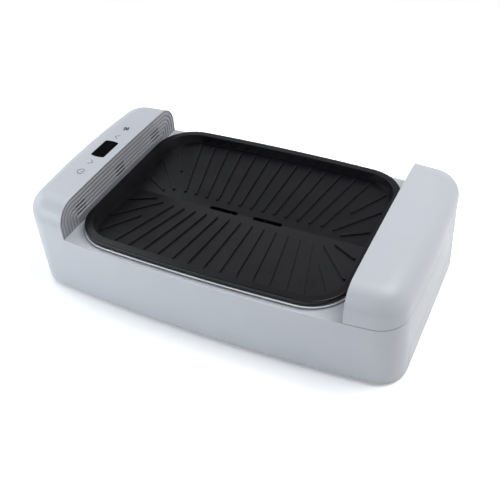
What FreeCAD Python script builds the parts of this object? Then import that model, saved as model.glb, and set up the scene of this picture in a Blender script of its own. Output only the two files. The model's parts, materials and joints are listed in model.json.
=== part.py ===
import FreeCAD, Part
import math
import os
import Sketcher

# Smokeless electric grill: a low moulded housing with a control tower at the left, a lift-off
# cover over the suction side at the right, a cast plate that lifts out of a steel liner between
# them, and a drip drawer that runs out of the right end.
# Frame: millimetres, origin on the table under the middle, +X to the drawer end, +Y to the back.

SIZES = {
    # The grill plate
    "plate_half_length": 177,
    "plate_half_depth": 137.7,
    "plate_bow": 6,
    "plate_corner": 54,
    "rim_lift": 11,
    "rim_depth": 6,
    "rim_width": 10,
    "rim_round": 2,
    "end_slope": 8.5,
    "side_slope": 1.2,
    "plate_wall": 4,
    "pan_depth": 19.5,
    "floor_rise": 7.5,
    "floor_span": 120,
    "rib_width": 3.8,
    "rib_height": 1.8,
    "fan_inner_inset": 79.2,
    "fan_outer_inset": 51,
    "rib_inner_end": 17,
    "rib_side_inset": 21.2,
    "outer_rib_start": 53,
    "outer_rib_start_drop": 83.7,
    "outer_rib_end": 24.5,
    "outer_rib_end_drop": 37.2,
    "middle_rib_start": 62.5,
    "middle_rib_lead": 1,
    "middle_rib_end": 19,
    "middle_rib_end_drop": 70.7,
    "inner_rib_start": 50,
    "inner_rib_lead": 7.3,
    "inner_rib_end": 21,
    "inner_rib_rise": 9.5,
    "drip_start": 11,
    "drip_length": 40,
    "drip_width": 6.5,
    "drip_corner": 2.5,
    # The moulded housing
    "tower_gap": 5,
    "tower_length": 66.5,
    "tower_rise": 46,
    "crown": 2.4,
    "ledge": 8.3,
    "end_flare": 0.5,
    "side_draft": 4.8,
    "bow": 7.5,
    "end_bow": 7.2,
    "corner": 36,
    "deck_height": 94,
    "arch_round": 29,
    "base_round": 6,
    "wall": 2.6,
    "foot_height": 2.5,
    "foot_end_inset": 63,
    "foot_side_inset": 47,
    "base_lip": 11,
    "web": 2,
    "post_end_inset": 32.5,
    "post_corner_inset": 34,
    "post_side_inset": 26,
    "side_post_x": 80,
    "corner_web": 18.2,
    "exhaust_pitch": 4.4,
    "exhaust_width": 2.4,
    "suction_margin": 8,
    "suction_side_inset": 34.5,
    "peg_radius": 2.5,
    "peg_length": 14,
    "peg_dip": 4.5,
    "end_peg_inset": 66,
    "side_peg_inset": 9,
    "side_peg_step": 18,
    # Gaps between pieces that fit one another, and how far cutting tools reach past what they cut
    "fit": 0.3,
    "panel_gap": 0.8,
    "panel_fit": 0.2,
    "seam": 0.7,
    "pilot": 0.3,
    "running_gap": 0.05,
    "margin": 20,
    # The steel liner and the heating element in it
    "sheet": 0.8,
    "pan_round": 6,
    "liner_gap": 1.4,
    "chamber_depth": 25.5,
    "flange_reach": 1.4,
    "hem_depth": 1.6,
    "drain_half_length": 70,
    "drain_half_width": 30,
    "drain_corner": 8,
    "tab_spacing": 88,
    "tab_width": 4,
    "tube_radius": 3.3,
    "element_rise": 14,
    "run_spacing": 52,
    "run_end_inset": 72,
    "support_gap": 2,
    "support_overhang": 14,
    "tube_end": 7,
    "bush_wall": 2,
    "bush_flange": 2.5,
    "bush_depth": 3,
    "terminal_width": 6.2,
    "terminal_length": 9,
    "terminal_thickness": 0.8,
    "cutout_drop": 4,
    "cutout_half_width": 15,
    "cutout_half_height": 5,
    "cutout_radius": 8,
    "cutout_depth": 6,
    # The drip drawer
    "drawer_side_inset": 51,
    "drawer_top": 38,
    "tray_side_inset": 13,
    "tray_lip": 7,
    "tray_clearance": 1.3,
    "tray_drop": 2.4,
    "tray_wall": 1.2,
    "tray_overrun": 8,
    "tray_round": 4.2,
    "tray_corner": 12,
    "lip_corner": 6,
    "rail_sheet": 1.5,
    "rail_foot": 9,
    "rail_guide": 4,
    "front_post_radius": 4,
    "front_screw_inner": 30,
    "front_screw_outer": 60,
    # The panels of the two towers and the grease filter
    "panel_thickness": 2,
    "panel_lip": 0.8,
    "ridge_pitch": 5.6,
    "ridge_width": 2.8,
    "ridge_height": 0.8,
    "slot_length": 20.3,
    "slot_height": 2,
    "slot_pitch": 90.3,
    "slot_middle": -3.7,
    "filter_depth": 8,
    "filter_edge": 4,
    "filter_inset": 1,
    "filter_top_gap": 8,
    "filter_bottom_gap": 3,
    "filter_side_gap": 10,
    "hanger_spacing": 70,
    # The control panel
    "window_half_length": 10,
    "window_half_width": 19.6,
    "window_bow": 1.8,
    "window_corner": 1.8,
    "window_thickness": 1.8,
    "window_step": 21.6,
    "window_y": -1.5,
    "window_ledge": 2,
    "digits_inset": 3.5,
    "board_thickness": 1.6,
    "control_board_drop": 12.5,
    "control_board_half_width": 16,
    "control_board_half_length": 74,
    "board_screw_x": 12,
    "board_screw_y": 70,
    "board_post_radius": 3,
    "touch_radius": 4,
    "touch_near": 56.9,
    "touch_near_inner": 33.7,
    "touch_far_inner": 30.8,
    "touch_far": 53.1,
    # The two blowers
    "blower_gap": 3.4,
    "wheel_gap": 5.5,
    "wheel_height": 19,
    "case_height": 25,
    "case_wall": 1.6,
    "left_blower_inset": 82,
    "blower_air_gap": 4,
    "right_blower_y": 40,
    "duct_setback": 8,
    "duct_overrun": 10,
    "shelf_rise": 6,
    "shelf_thickness": 2,
    "shelf_side_inset": 28,
    "shelf_overrun": 2,
    "shelf_end_gap": 2.5,
    "ear_radius": 4,
    "ear_height": 4,
    "ear_gap": 3.5,
    "spacer_radius": 3.5,
    "motor_radius": 10,
    "motor_height": 9,
    "shaft_radius": 1.5,
    "shaft_length": 17,
    "hub_radius": 12.5,
    "hub_wall": 1.2,
    "eye_margin": 4,
    "blade_depth": 5,
    "blade_bulge": 1.1,
    "blade_thickness": 0.9,
    "air_slot_length": 32,
    "air_slot_width": 3,
    "air_slot_pitch": 6,
    # The power inlet and the power board
    "inlet_step": 32,
    "inlet_z": 40,
    "inlet_half_length": 14.5,
    "inlet_half_height": 10.5,
    "inlet_recess": 5.5,
    "inlet_body_depth": 24,
    "inlet_mouth_depth": 15,
    "inlet_wall": 2.5,
    "inlet_wing": 8,
    "inlet_wing_setback": 3.4,
    "pin_spacing": 5,
    "pin_width": 2,
    "pin_height": 4,
    "pin_length": 8,
    "power_board_inset": 36.5,
    "power_board_y": 38,
    "power_board_half_width": 26,
    "power_board_half_length": 46,
    "power_board_gap": 6,
    "part_inset": 4,
    "part_setback": 13,
    "relay_length": 27,
    "relay_width": 19,
    "relay_height": 16,
    "coil_width": 18,
    "coil_height": 18,
    "capacitor_radius": 6,
    "capacitor_height": 20,
    "small_capacitor_radius": 5,
    "small_capacitor_height": 14,
    "fuse_radius": 2.6,
    "fuse_length": 20,
    # Fasteners
    "screw_radius": 1.5,
    "head_radius": 3,
    "head_height": 1.6,
    "sink_depth": 1.1,
    "base_screw_length": 14,
    "short_screw_length": 6,
    "post_radius": 4.2,
    "foot_radius": 9,
}


# Ridges of a tower panel, and the grooves between them that are slotted, counted from the outline
RIDGE_COUNT = 6
SLOT_ROWS = (3, 4, 5)


class Size:
    """A number together with the sheet expression that gives it."""

    def __init__(self, number, text):
        self.number = number
        self.text = text

    def __add__(self, other):
        return Size(self.number + number(other), f"({self.text} + {text(other)})")

    def __radd__(self, other):
        return Size(number(other) + self.number, f"({text(other)} + {self.text})")

    def __sub__(self, other):
        return Size(self.number - number(other), f"({self.text} - {text(other)})")

    def __rsub__(self, other):
        return Size(number(other) - self.number, f"({text(other)} - {self.text})")

    def __mul__(self, other):
        return Size(self.number * number(other), f"({self.text} * {text(other)})")

    def __rmul__(self, other):
        return Size(number(other) * self.number, f"({text(other)} * {self.text})")

    def __truediv__(self, other):
        return Size(self.number / number(other), f"({self.text} / {text(other)})")

    def __neg__(self):
        return Size(-self.number, f"(-{self.text})")


def number(value):
    if isinstance(value, Size):
        return value.number
    return float(value)


def text(value):
    if isinstance(value, Size):
        return value.text
    return repr(float(value))


def arc_radius(half_span, rise):
    """The radius of an arc that rises by so much over twice the half span."""
    return (half_span * half_span + rise * rise) / (2 * rise)


def make_sheet():
    sheet = doc.addObject("Spreadsheet::Sheet", "Sizes")
    for row, (name, value) in enumerate(SIZES.items(), 1):
        sheet.set(f"A{row}", name)
        sheet.set(f"B{row}", str(value))
        sheet.setAlias(f"B{row}", name)
    doc.recompute()
    return sheet


def cell(name):
    return Size(float(sheet.get(name)), f"Sizes.{name}")


def bind(item, prop, value):
    if isinstance(value, Size):
        item.setExpression(prop, value.text)
    elif prop.startswith("Placement.Base."):
        base = item.Placement.Base
        setattr(base, prop[-1], float(value))
        item.Placement = FreeCAD.Placement(base, item.Placement.Rotation)
    else:
        setattr(item, prop, value)


def place(item, x, y, z):
    bind(item, "Placement.Base.x", x)
    bind(item, "Placement.Base.y", y)
    bind(item, "Placement.Base.z", z)


# Plain solids and the ways they are put together

TURN = {
    "x": FreeCAD.Rotation(FreeCAD.Vector(0, 1, 0), 90),
    "y": FreeCAD.Rotation(FreeCAD.Vector(1, 0, 0), -90),
    "z": FreeCAD.Rotation(),
}


def block(name, x, y, z):
    """A box between two values on each axis."""
    item = doc.addObject("Part::Box", name)
    bind(item, "Length", x[1] - x[0])
    bind(item, "Width", y[1] - y[0])
    bind(item, "Height", z[1] - z[0])
    place(item, x[0], y[0], z[0])
    return item


def rod(name, radius, length, x, y, z, along="z"):
    """A cylinder from a point, along one axis."""
    item = doc.addObject("Part::Cylinder", name)
    bind(item, "Radius", radius)
    bind(item, "Height", length)
    item.Placement = FreeCAD.Placement(FreeCAD.Vector(), TURN[along])
    place(item, x, y, z)
    return item


def join(name, pieces):
    if len(pieces) == 1:
        return pieces[0]
    item = doc.addObject("Part::MultiFuse", name)
    item.Shapes = pieces
    return item


def group(name, pieces):
    """Separate solids of one kind, kept apart."""
    item = doc.addObject("Part::Compound", name)
    item.Links = pieces
    return item


def cut(name, base, tools):
    item = doc.addObject("Part::Cut", name)
    item.Base = base
    item.Tool = join(name + "_tools", tools)
    return item


def overlap(name, first, second):
    item = doc.addObject("Part::Common", name)
    item.Base = first
    item.Tool = second
    return item


def finish(item, node):
    """Gives a sub-part its own name, under which it is kept."""
    item.Label = node
    nodes[node] = item
    return item


# Sketched bodies

def new_body(name):
    return doc.addObject("PartDesign::Body", name)


def sketch_on(body, name, plane, offset=0, x=0, y=0):
    """A sketch on one of the body's own planes, moved along that plane's normal or within it."""
    sketch = body.newObject("Sketcher::SketchObject", name)
    planes = [feature for feature in body.Origin.OriginFeatures if feature.Role == plane]
    sketch.AttachmentSupport = [(planes[0], "")]
    sketch.MapMode = "FlatFace"
    start = FreeCAD.Vector(number(x), number(y), number(offset))
    sketch.AttachmentOffset = FreeCAD.Placement(start, FreeCAD.Rotation())
    for axis, value in (("x", x), ("y", y), ("z", offset)):
        if isinstance(value, Size):
            sketch.setExpression(f"AttachmentOffset.Base.{axis}", value.text)
    return sketch


def measure(sketch, kind, value, *points):
    """A driving dimension of a sketch, tied to the sheet."""
    index = sketch.addConstraint(Sketcher.Constraint(kind, *points, number(value)))
    if isinstance(value, Size):
        sketch.setExpression(f"Constraints[{index}]", value.text)


def fix_point(sketch, edge, point, x, y):
    """Holds a point at its distances from the sketch's origin."""
    for kind, value in (("DistanceX", x), ("DistanceY", y)):
        if number(value) >= 0:
            measure(sketch, kind, value, -1, 1, edge, point)
        else:
            measure(sketch, kind, 0 - value, edge, point, -1, 1)


def flat(x, y):
    return FreeCAD.Vector(number(x), number(y), 0)


def arc(x, y, radius, start, end):
    circle = Part.Circle(flat(x, y), FreeCAD.Vector(0, 0, 1), number(radius))
    return Part.ArcOfCircle(circle, start, end)


def chain(sketch, edges, kind):
    """Adds a closed run of edges, each ending where the next one starts."""
    first = sketch.GeometryCount
    sketch.addGeometry(edges, False)
    for index in range(len(edges)):
        after = (index + 1) % len(edges)
        sketch.addConstraint(Sketcher.Constraint(kind, first + index, 2, first + after, 1))
    return first


def draw_polygon(sketch, points):
    lines = []
    for index, point in enumerate(points):
        after = points[(index + 1) % len(points)]
        lines.append(Part.LineSegment(flat(*point), flat(*after)))
    first = chain(sketch, lines, "Coincident")
    for index, (x, y) in enumerate(points):
        fix_point(sketch, first + index, 1, x, y)


def draw_circle(sketch, x, y, radius):
    circle = Part.Circle(flat(x, y), FreeCAD.Vector(0, 0, 1), number(radius))
    edge = sketch.addGeometry(circle, False)
    fix_point(sketch, edge, 3, x, y)
    measure(sketch, "Radius", radius, edge)


def draw_rounded_rectangle(sketch, x, y, corner):
    """A rectangle between two values on each axis, with round corners."""
    left, right = number(x[0]), number(x[1])
    low, high = number(y[0]), number(y[1])
    r = number(corner)
    quarter = math.pi / 2
    edges = [
        Part.LineSegment(flat(left + r, low), flat(right - r, low)),
        arc(right - r, low + r, r, -quarter, 0),
        Part.LineSegment(flat(right, low + r), flat(right, high - r)),
        arc(right - r, high - r, r, 0, quarter),
        Part.LineSegment(flat(right - r, high), flat(left + r, high)),
        arc(left + r, high - r, r, quarter, 2 * quarter),
        Part.LineSegment(flat(left, high - r), flat(left, low + r)),
        arc(left + r, low + r, r, 2 * quarter, 3 * quarter),
    ]
    first = chain(sketch, edges, "Tangent")
    for index in (0, 4):
        sketch.addConstraint(Sketcher.Constraint("Horizontal", first + index))
    for index in (2, 6):
        sketch.addConstraint(Sketcher.Constraint("Vertical", first + index))
    for index in (3, 5, 7):
        sketch.addConstraint(Sketcher.Constraint("Equal", first + 1, first + index))
    measure(sketch, "Radius", corner, first + 1)
    fix_point(sketch, first + 7, 3, x[0] + corner, y[0] + corner)
    fix_point(sketch, first + 3, 3, x[1] - corner, y[1] - corner)


def draw_bowed_outline(sketch, half_length, half_depth, bow_radius, corner):
    """The plan shape of housing, plate and liner: straight ends, bowed long sides, round corners."""
    reach = number(half_length) - number(corner)
    offset = number(bow_radius) - number(half_depth)
    centre_y = math.sqrt((number(bow_radius) - number(corner)) ** 2 - reach ** 2) - offset
    turn = math.atan2(centre_y + offset, reach)
    half = math.pi
    edges = [
        arc(0, offset, bow_radius, half + turn, 2 * half - turn),
        arc(reach, -centre_y, corner, 2 * half - turn, 2 * half),
        Part.LineSegment(flat(half_length, -centre_y), flat(half_length, centre_y)),
        arc(reach, centre_y, corner, 0, turn),
        arc(0, -offset, bow_radius, turn, half - turn),
        arc(-reach, centre_y, corner, half - turn, half),
        Part.LineSegment(flat(-half_length, centre_y), flat(-half_length, -centre_y)),
        arc(-reach, -centre_y, corner, half, half + turn),
    ]
    first = chain(sketch, edges, "Tangent")
    for index in (2, 6):
        sketch.addConstraint(Sketcher.Constraint("Vertical", first + index))
    for index in (3, 5, 7):
        sketch.addConstraint(Sketcher.Constraint("Equal", first + 1, first + index))
    sketch.addConstraint(Sketcher.Constraint("Equal", first, first + 4))
    for index in (0, 4):
        sketch.addConstraint(Sketcher.Constraint("PointOnObject", first + index, 3, -2))
    measure(sketch, "Radius", corner, first + 1)
    measure(sketch, "Radius", bow_radius, first)
    measure(sketch, "DistanceX", half_length, -1, 1, first + 2, 1)
    measure(sketch, "DistanceX", half_length, first + 6, 1, -1, 1)
    measure(sketch, "DistanceY", bow_radius - half_depth, -1, 1, first, 3)
    measure(sketch, "DistanceY", bow_radius - half_depth, first + 4, 3, -1, 1)


def draw_bowed_box(sketch, half_length, half_depth, bow_radius, end_radius, corner):
    """The plan shape of the deck and towers: four bowed sides and round corners."""
    side_offset = number(bow_radius) - number(half_depth)
    end_offset = number(end_radius) - number(half_length)
    x = number(half_length) - number(corner)
    for step in range(20):
        y = math.sqrt((number(bow_radius) - number(corner)) ** 2 - x ** 2) - side_offset
        x = math.sqrt((number(end_radius) - number(corner)) ** 2 - y ** 2) - end_offset
    turn = math.atan2(y + side_offset, x)
    end_turn = math.atan2(y, x + end_offset)
    half = math.pi
    edges = [
        arc(0, side_offset, bow_radius, half + turn, 2 * half - turn),
        arc(x, -y, corner, 2 * half - turn, 2 * half - end_turn),
        arc(-end_offset, 0, end_radius, -end_turn, end_turn),
        arc(x, y, corner, end_turn, turn),
        arc(0, -side_offset, bow_radius, turn, half - turn),
        arc(-x, y, corner, half - turn, half - end_turn),
        arc(end_offset, 0, end_radius, half - end_turn, half + end_turn),
        arc(-x, -y, corner, half + end_turn, half + turn),
    ]
    first = chain(sketch, edges, "Tangent")
    for index in (3, 5, 7):
        sketch.addConstraint(Sketcher.Constraint("Equal", first + 1, first + index))
    for index, axis in ((0, -2), (2, -1)):
        sketch.addConstraint(Sketcher.Constraint("Equal", first + index, first + index + 4))
        sketch.addConstraint(Sketcher.Constraint("PointOnObject", first + index, 3, axis))
        sketch.addConstraint(Sketcher.Constraint("PointOnObject", first + index + 4, 3, axis))
    measure(sketch, "Radius", corner, first + 1)
    measure(sketch, "Radius", bow_radius, first)
    measure(sketch, "Radius", end_radius, first + 2)
    measure(sketch, "DistanceX", end_radius - half_length, first + 2, 3, -1, 1)
    measure(sketch, "DistanceX", end_radius - half_length, -1, 1, first + 6, 3)
    measure(sketch, "DistanceY", bow_radius - half_depth, -1, 1, first, 3)
    measure(sketch, "DistanceY", bow_radius - half_depth, first + 4, 3, -1, 1)


def draw_arch(sketch, half_width, bottom, top, shoulder, crown):
    """The end view of a tower: upright sides, two large round shoulders and a slightly crowned top."""
    w, b, r = number(half_width), number(bottom), number(shoulder)
    crown_low = number(top) - number(crown)
    rise = math.sqrt((number(crown) - r) ** 2 - (w - r) ** 2)
    turn = math.atan2(rise, w - r)
    z = crown_low + rise
    edges = [
        Part.LineSegment(flat(-w, b), flat(w, b)),
        Part.LineSegment(flat(w, b), flat(w, z)),
        arc(w - r, z, r, 0, turn),
        arc(0, crown_low, crown, turn, math.pi - turn),
        arc(r - w, z, r, math.pi - turn, math.pi),
        Part.LineSegment(flat(-w, z), flat(-w, b)),
    ]
    first = sketch.GeometryCount
    sketch.addGeometry(edges, False)
    for index, kind in enumerate(("Coincident", "Tangent", "Tangent", "Tangent", "Tangent", "Coincident")):
        after = (index + 1) % len(edges)
        sketch.addConstraint(Sketcher.Constraint(kind, first + index, 2, first + after, 1))
    sketch.addConstraint(Sketcher.Constraint("Vertical", first + 1))
    sketch.addConstraint(Sketcher.Constraint("Vertical", first + 5))
    sketch.addConstraint(Sketcher.Constraint("Equal", first + 2, first + 4))
    fix_point(sketch, first, 1, -half_width, bottom)
    fix_point(sketch, first, 2, half_width, bottom)
    measure(sketch, "Radius", shoulder, first + 2)
    hold_crown(sketch, first + 3, top, crown)


def draw_over_crown(sketch, half_width, top, crown):
    """Everything over a tower's crowned top."""
    w = number(half_width)
    crown_low = number(top) - number(crown)
    side = math.sqrt(number(crown) ** 2 - w ** 2)
    turn = math.atan2(side, w)
    high = top + margin
    edges = [
        arc(0, crown_low, crown, turn, math.pi - turn),
        Part.LineSegment(flat(-w, crown_low + side), flat(-w, high)),
        Part.LineSegment(flat(-w, high), flat(w, high)),
        Part.LineSegment(flat(w, high), flat(w, crown_low + side)),
    ]
    first = chain(sketch, edges, "Coincident")
    sketch.addConstraint(Sketcher.Constraint("Vertical", first + 1))
    sketch.addConstraint(Sketcher.Constraint("Vertical", first + 3))
    fix_point(sketch, first + 2, 1, -half_width, high)
    fix_point(sketch, first + 2, 2, half_width, high)
    hold_crown(sketch, first, top, crown)


def hold_crown(sketch, edge, top, crown):
    """Holds a crown's arc by its radius and its highest point."""
    sketch.addConstraint(Sketcher.Constraint("PointOnObject", edge, 3, -2))
    measure(sketch, "Radius", crown, edge)
    measure(sketch, "DistanceY", crown - top, edge, 3, -1, 1)


def pad(body, name, sketch, length, reverse=False, both=False):
    item = body.newObject("PartDesign::Pad", name)
    item.Profile = (sketch, [""])
    bind(item, "Length", length)
    item.Reversed = reverse
    item.Midplane = both
    return item


def pocket(body, name, sketch, length=None, reverse=False, both=False):
    """Cuts a sketch into the body, by a length or right through."""
    item = body.newObject("PartDesign::Pocket", name)
    item.Profile = (sketch, [""])
    if length is None:
        item.Type = 1
    else:
        bind(item, "Length", length)
    item.Reversed = reverse
    item.Midplane = both
    return item


def loft(body, name, first, last, subtract=False):
    kind = "PartDesign::SubtractiveLoft" if subtract else "PartDesign::AdditiveLoft"
    item = body.newObject(kind, name)
    item.Profile = (first, [""])
    item.Sections = [(last, [""])]
    item.Ruled = True
    return item


def round_edges(body, name, base, radius, chosen):
    """Rounds the edges of a feature that a test picks out."""
    doc.recompute()
    edges = [f"Edge{index}" for index, edge in enumerate(base.Shape.Edges, 1) if chosen(edge)]
    item = body.newObject("PartDesign::Fillet", name)
    item.Base = (base, edges)
    bind(item, "Radius", radius)
    return item


def level(height, drop=0):
    """A test for edges that lie at one height, or no more than a drop below it."""
    low, high = number(height - drop) - 0.001, number(height) + 0.001
    return lambda edge: all(low < vertex.Z < high for vertex in edge.Vertexes)


# Housing

def full_form(name, inset, bottom):
    """The outside of housing and cover in one: drafted walls, then the round-shouldered towers."""
    body = new_body(name)
    base = sketch_on(body, name + "_base_outline", "XY_Plane", bottom)
    draw_bowed_outline(base, base_half_length - inset, base_half_depth - inset,
                       bow_radius - inset, corner - inset)
    deck = sketch_on(body, name + "_deck_outline", "XY_Plane", deck_height)
    draw_bowed_box(deck, deck_half_length - inset, deck_half_depth - inset,
                   bow_radius - inset, end_radius - inset, corner - inset)
    loft(body, name + "_tub", base, deck)
    top = tower_height - inset
    pad(body, name + "_towers", deck, top - deck_height)
    over = sketch_on(body, name + "_over", "YZ_Plane")
    draw_over_crown(over, deck_half_depth + margin, top, crown_radius - inset)
    crowned = pocket(body, name + "_crown", over, 2 * (base_half_length + margin), both=True)
    shoulders = round_edges(body, name + "_shoulders", crowned, arch_round - inset, level(top, 2 * crown))
    round_edges(body, name + "_underside", shoulders, base_round - inset, level(bottom))
    return body


def prism(name, bottom, top, half_length, half_depth, bow_size, corner_size):
    """An upright block with the bowed plan shape."""
    body = new_body(name)
    outline = sketch_on(body, name + "_outline", "XY_Plane", bottom)
    draw_bowed_outline(outline, half_length, half_depth, bow_size, corner_size)
    pad(body, name + "_pad", outline, top - bottom)
    return body


def screw_posts():
    """Posts on the long walls, each with a web to its wall."""
    posts = []
    top = shelf_height
    for x, y, web_end in post_places():
        tag = f"post_{len(posts)}"
        column = rod(tag, post_radius, top - floor_top, x, y, floor_top)
        span = sorted((y, web_end), key=number)
        web = block(tag + "_web", (x - web_width / 2, x + web_width / 2), span,
                    (floor_top, top - post_radius))
        hole = rod(tag + "_hole", screw_radius - pilot, top, x, y, floor_top - 1)
        posts.append(cut(tag + "_drilled", join(tag + "_all", [column, web]), [hole]))
    return posts


def post_places():
    """The eight posts: their middles, and how far the webs go out into the walls."""
    places = []
    ends = (end_post_x, end_post_y, end_post_y + corner_web)
    sides = (side_post_x, side_post_y, side_post_y + side_web)
    for x, y, web_end in (ends, sides):
        for side_x in (-1, 1):
            for side_y in (-1, 1):
                places.append((side_x * x, side_y * y, side_y * web_end))
    return places


def board_posts():
    """Short posts under the control panel that carry its board."""
    under_roof = control_board_height + board_thickness
    posts = []
    for x, y in board_screw_places():
        tag = f"board_post_{len(posts)}"
        column = rod(tag, board_post_radius, tower_height - wall / 2 - under_roof, x, y, under_roof)
        hole = rod(tag + "_hole", screw_radius - fit, short_screw, x, y, under_roof - fit)
        posts.append(cut(tag + "_drilled", column, [hole]))
    return posts


def board_screw_places():
    return [(-window_x + side_x * board_screw_x, side_y * board_screw_y)
            for side_x in (-1, 1) for side_y in (-1, 1)]


def window_place(inset):
    """A span on each axis inside the window's outline."""
    x = (-window_x - window_half_length + inset, -window_x + window_half_length - inset)
    y = (window_y - window_half_width + inset, window_y + window_half_width - inset)
    return x, y


def window_block(name, grow, bottom, top):
    """A block with the window's outline: straight long sides, bowed short ends."""
    body = new_body(name)
    outline = sketch_on(body, name + "_outline", "XY_Plane", bottom, -window_x, window_y)
    draw_bowed_outline(outline, window_half_length + grow, window_half_width + grow,
                       window_bow_radius + grow, window_corner + grow)
    pad(body, name + "_pad", outline, top - bottom)
    return body


def rounded_block(name, x, y, corner_size, bottom, top):
    body = new_body(name)
    outline = sketch_on(body, name + "_outline", "XY_Plane", bottom)
    draw_rounded_rectangle(outline, x, y, corner_size)
    pad(body, name + "_pad", outline, top - bottom)
    return body


def main_housing(outer, inner):
    far = base_half_length + margin
    high = tower_height + margin
    wide = deck_half_depth + margin
    under_roof = deck_height - 2 * wall
    gap = block("over_deck", (-tower_face, far), (-wide, wide), (deck_height, high))
    under_deck = block("deck_skin", (-tower_face, far), (-wide, wide), (deck_height - wall, high))
    shell = cut("shell", outer, [gap, cut("cavity", inner, [under_deck])])
    liner_hole = prism("liner_hole", under_roof, deck_height + wall,
                       liner_half_length + 1, liner_half_depth + 1,
                       plate_bow_radius, liner_corner + 1)
    base_hole = prism("base_hole", 0, floor_top, base_half_length - base_lip, base_half_depth - base_lip,
                      bow_radius - base_lip, corner - base_lip)
    drawer_hole = block("drawer_hole", (base_half_length - base_lip - 1, far),
                        (-drawer_half_width - panel_gap, drawer_half_width + panel_gap),
                        (0, drawer_top + panel_gap))
    window_seat = window_block("window_seat", fit, tower_height - window_thickness - fit, high)
    x, y = window_place(window_ledge)
    window_hole = rounded_block("window_hole", x, y, window_corner, tower_height - 2 * wall, tower_height)
    suction_half_width = deck_half_depth - suction_side_inset
    suction_hole = rounded_block("suction_hole",
                                 (tower_face + suction_margin, end_peg_x - 2 * peg_radius),
                                 (-suction_half_width, suction_half_width), lip_corner,
                                 under_roof, deck_height + wall)
    inlet_hole = block("inlet_hole", (-inlet_x - inlet_half_length, -inlet_x + inlet_half_length),
                       (inlet_face - inlet_body, wide),
                       (inlet_z - inlet_half_height, inlet_z + inlet_half_height))
    peg_holes = [rod(f"peg_hole_{index}", peg_radius + fit, 3 * wall, x, y, under_roof)
                 for index, (x, y) in enumerate(peg_places())]
    panel_seat = panel_rebate("vent_seat", -1, deck_height - wall - fit)
    tools = [liner_hole, base_hole, drawer_hole, window_seat, window_hole, suction_hole, inlet_hole]
    opened = cut("opened", shell, tools + [panel_seat] + exhaust_slots(wide) + peg_holes)
    posts = overlap("posts_inside", group("posts", screw_posts()), outer)
    return join("housing", [opened, posts] + board_posts())


def exhaust_slots(wide):
    """Upright slots in the back wall where the suction blower's duct ends."""
    count = 6
    slots = []
    for index in range(count):
        x = outlet_x + exhaust_pitch * (index - (count - 1) / 2)
        slots.append(block(f"exhaust_{index}", (x - exhaust_width / 2, x + exhaust_width / 2),
                           (deck_half_depth - margin, wide), (outlet_low + 1, outlet_high - 1)))
    return slots


def peg_places():
    """Where the cover's pegs drop into the deck: two at the end wall, one at each long wall."""
    ends = [(end_peg_x, side * end_peg_y) for side in (-1, 1)]
    sides = [(side_peg_x, side * side_peg_y) for side in (-1, 1)]
    return ends + sides


def bottom_plate():
    """The flat plate that closes the housing, with air slots under the left blower."""
    edge = base_lip + panel_gap
    body = new_body("bottom")
    outline = sketch_on(body, "bottom_outline", "XY_Plane", foot_height)
    draw_bowed_outline(outline, base_half_length - edge, base_half_depth - edge,
                       bow_radius - edge, corner - edge)
    pad(body, "bottom_pad", outline, floor_top - foot_height)
    notch = block("front_notch", (base_half_length - edge - 2 * panel_gap, base_half_length),
                  (-drawer_half_width - lip_corner, drawer_half_width + lip_corner), (0, floor_top + 1))
    holes = [notch]
    count = 6
    for index in range(count):
        y = left_blower_y + air_slot_pitch * (index - (count - 1) / 2)
        holes.append(block(f"air_slot_{index}",
                           (-blower_x - air_slot_length / 2, -blower_x + air_slot_length / 2),
                           (y - air_slot_width / 2, y + air_slot_width / 2), (0, floor_top + 1)))
    for x, y, web_end in post_places():
        tag = f"bottom_screw_{len(holes)}"
        holes.append(rod(tag, screw_radius + pilot, floor_top, x, y, 1))
        holes.append(rod(tag + "_sink", head_radius + pilot, screw_sink, x, y, 0))
    for x, y in foot_places():
        holes.append(rod(f"foot_hole_{len(holes)}", foot_radius / 3 + running_gap, floor_top, x, y, 1))
    return cut("bottom_drilled", body, holes)


def foot_places():
    return [(side_x * foot_x, side_y * foot_y) for side_x in (-1, 1) for side_y in (-1, 1)]


def rubber_feet():
    feet = []
    for index, (x, y) in enumerate(foot_places()):
        sole = doc.addObject("Part::Cone", f"foot_{index}")
        bind(sole, "Radius1", foot_radius - 1)
        bind(sole, "Radius2", foot_radius)
        bind(sole, "Height", foot_height)
        place(sole, x, y, 0)
        plug = rod(f"foot_{index}_plug", foot_radius / 3, wall - panel_fit, x, y, foot_height)
        feet.append(join(f"foot_{index}_all", [sole, plug]))
    return group("feet", feet)


def screw(name, x, y, z, length, up=True):
    """A pan-head screw; z is the plane under its head, and it points up or down."""
    shank_bottom = z if up else z - length
    head_bottom = z - head_height if up else z
    shank = rod(name + "_shank", screw_radius - pilot, length, x, y, shank_bottom)
    head = rod(name + "_head", head_radius, head_height, x, y, head_bottom)
    return join(name, [shank, head])


def lying_screw(name, seat, y, z, length):
    """The same screw along X, with its head on the near side of its seat."""
    shank = rod(name + "_shank", screw_radius - pilot, length, seat, y, z, along="x")
    head = rod(name + "_head", head_radius, head_height, seat - head_height, y, z, along="x")
    return join(name, [shank, head])


def bottom_screws():
    screws = [screw(f"base_screw_{index}", x, y, screw_sink, base_screw)
              for index, (x, y, web_end) in enumerate(post_places())]
    return group("base_screws", screws)


# Grill plate

def floor_line(y, drop=0):
    """Height of the plate's sloping floor at a distance from its middle."""
    return floor_low + floor_rise * y / floor_span - drop


def floor_wedge(name, drop, top):
    """Everything above the floor: a bar along X whose underside is a shallow V."""
    body = new_body(name)
    side = plate_half_depth + margin
    section = sketch_on(body, name + "_section", "YZ_Plane")
    draw_polygon(section, [
        (0, floor_line(0, drop)),
        (side, floor_line(side, drop)),
        (side, top),
        (-side, top),
        (-side, floor_line(side, drop)),
    ])
    pad(body, name + "_bar", section, 2 * (plate_half_length + margin), both=True)
    return body


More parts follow.
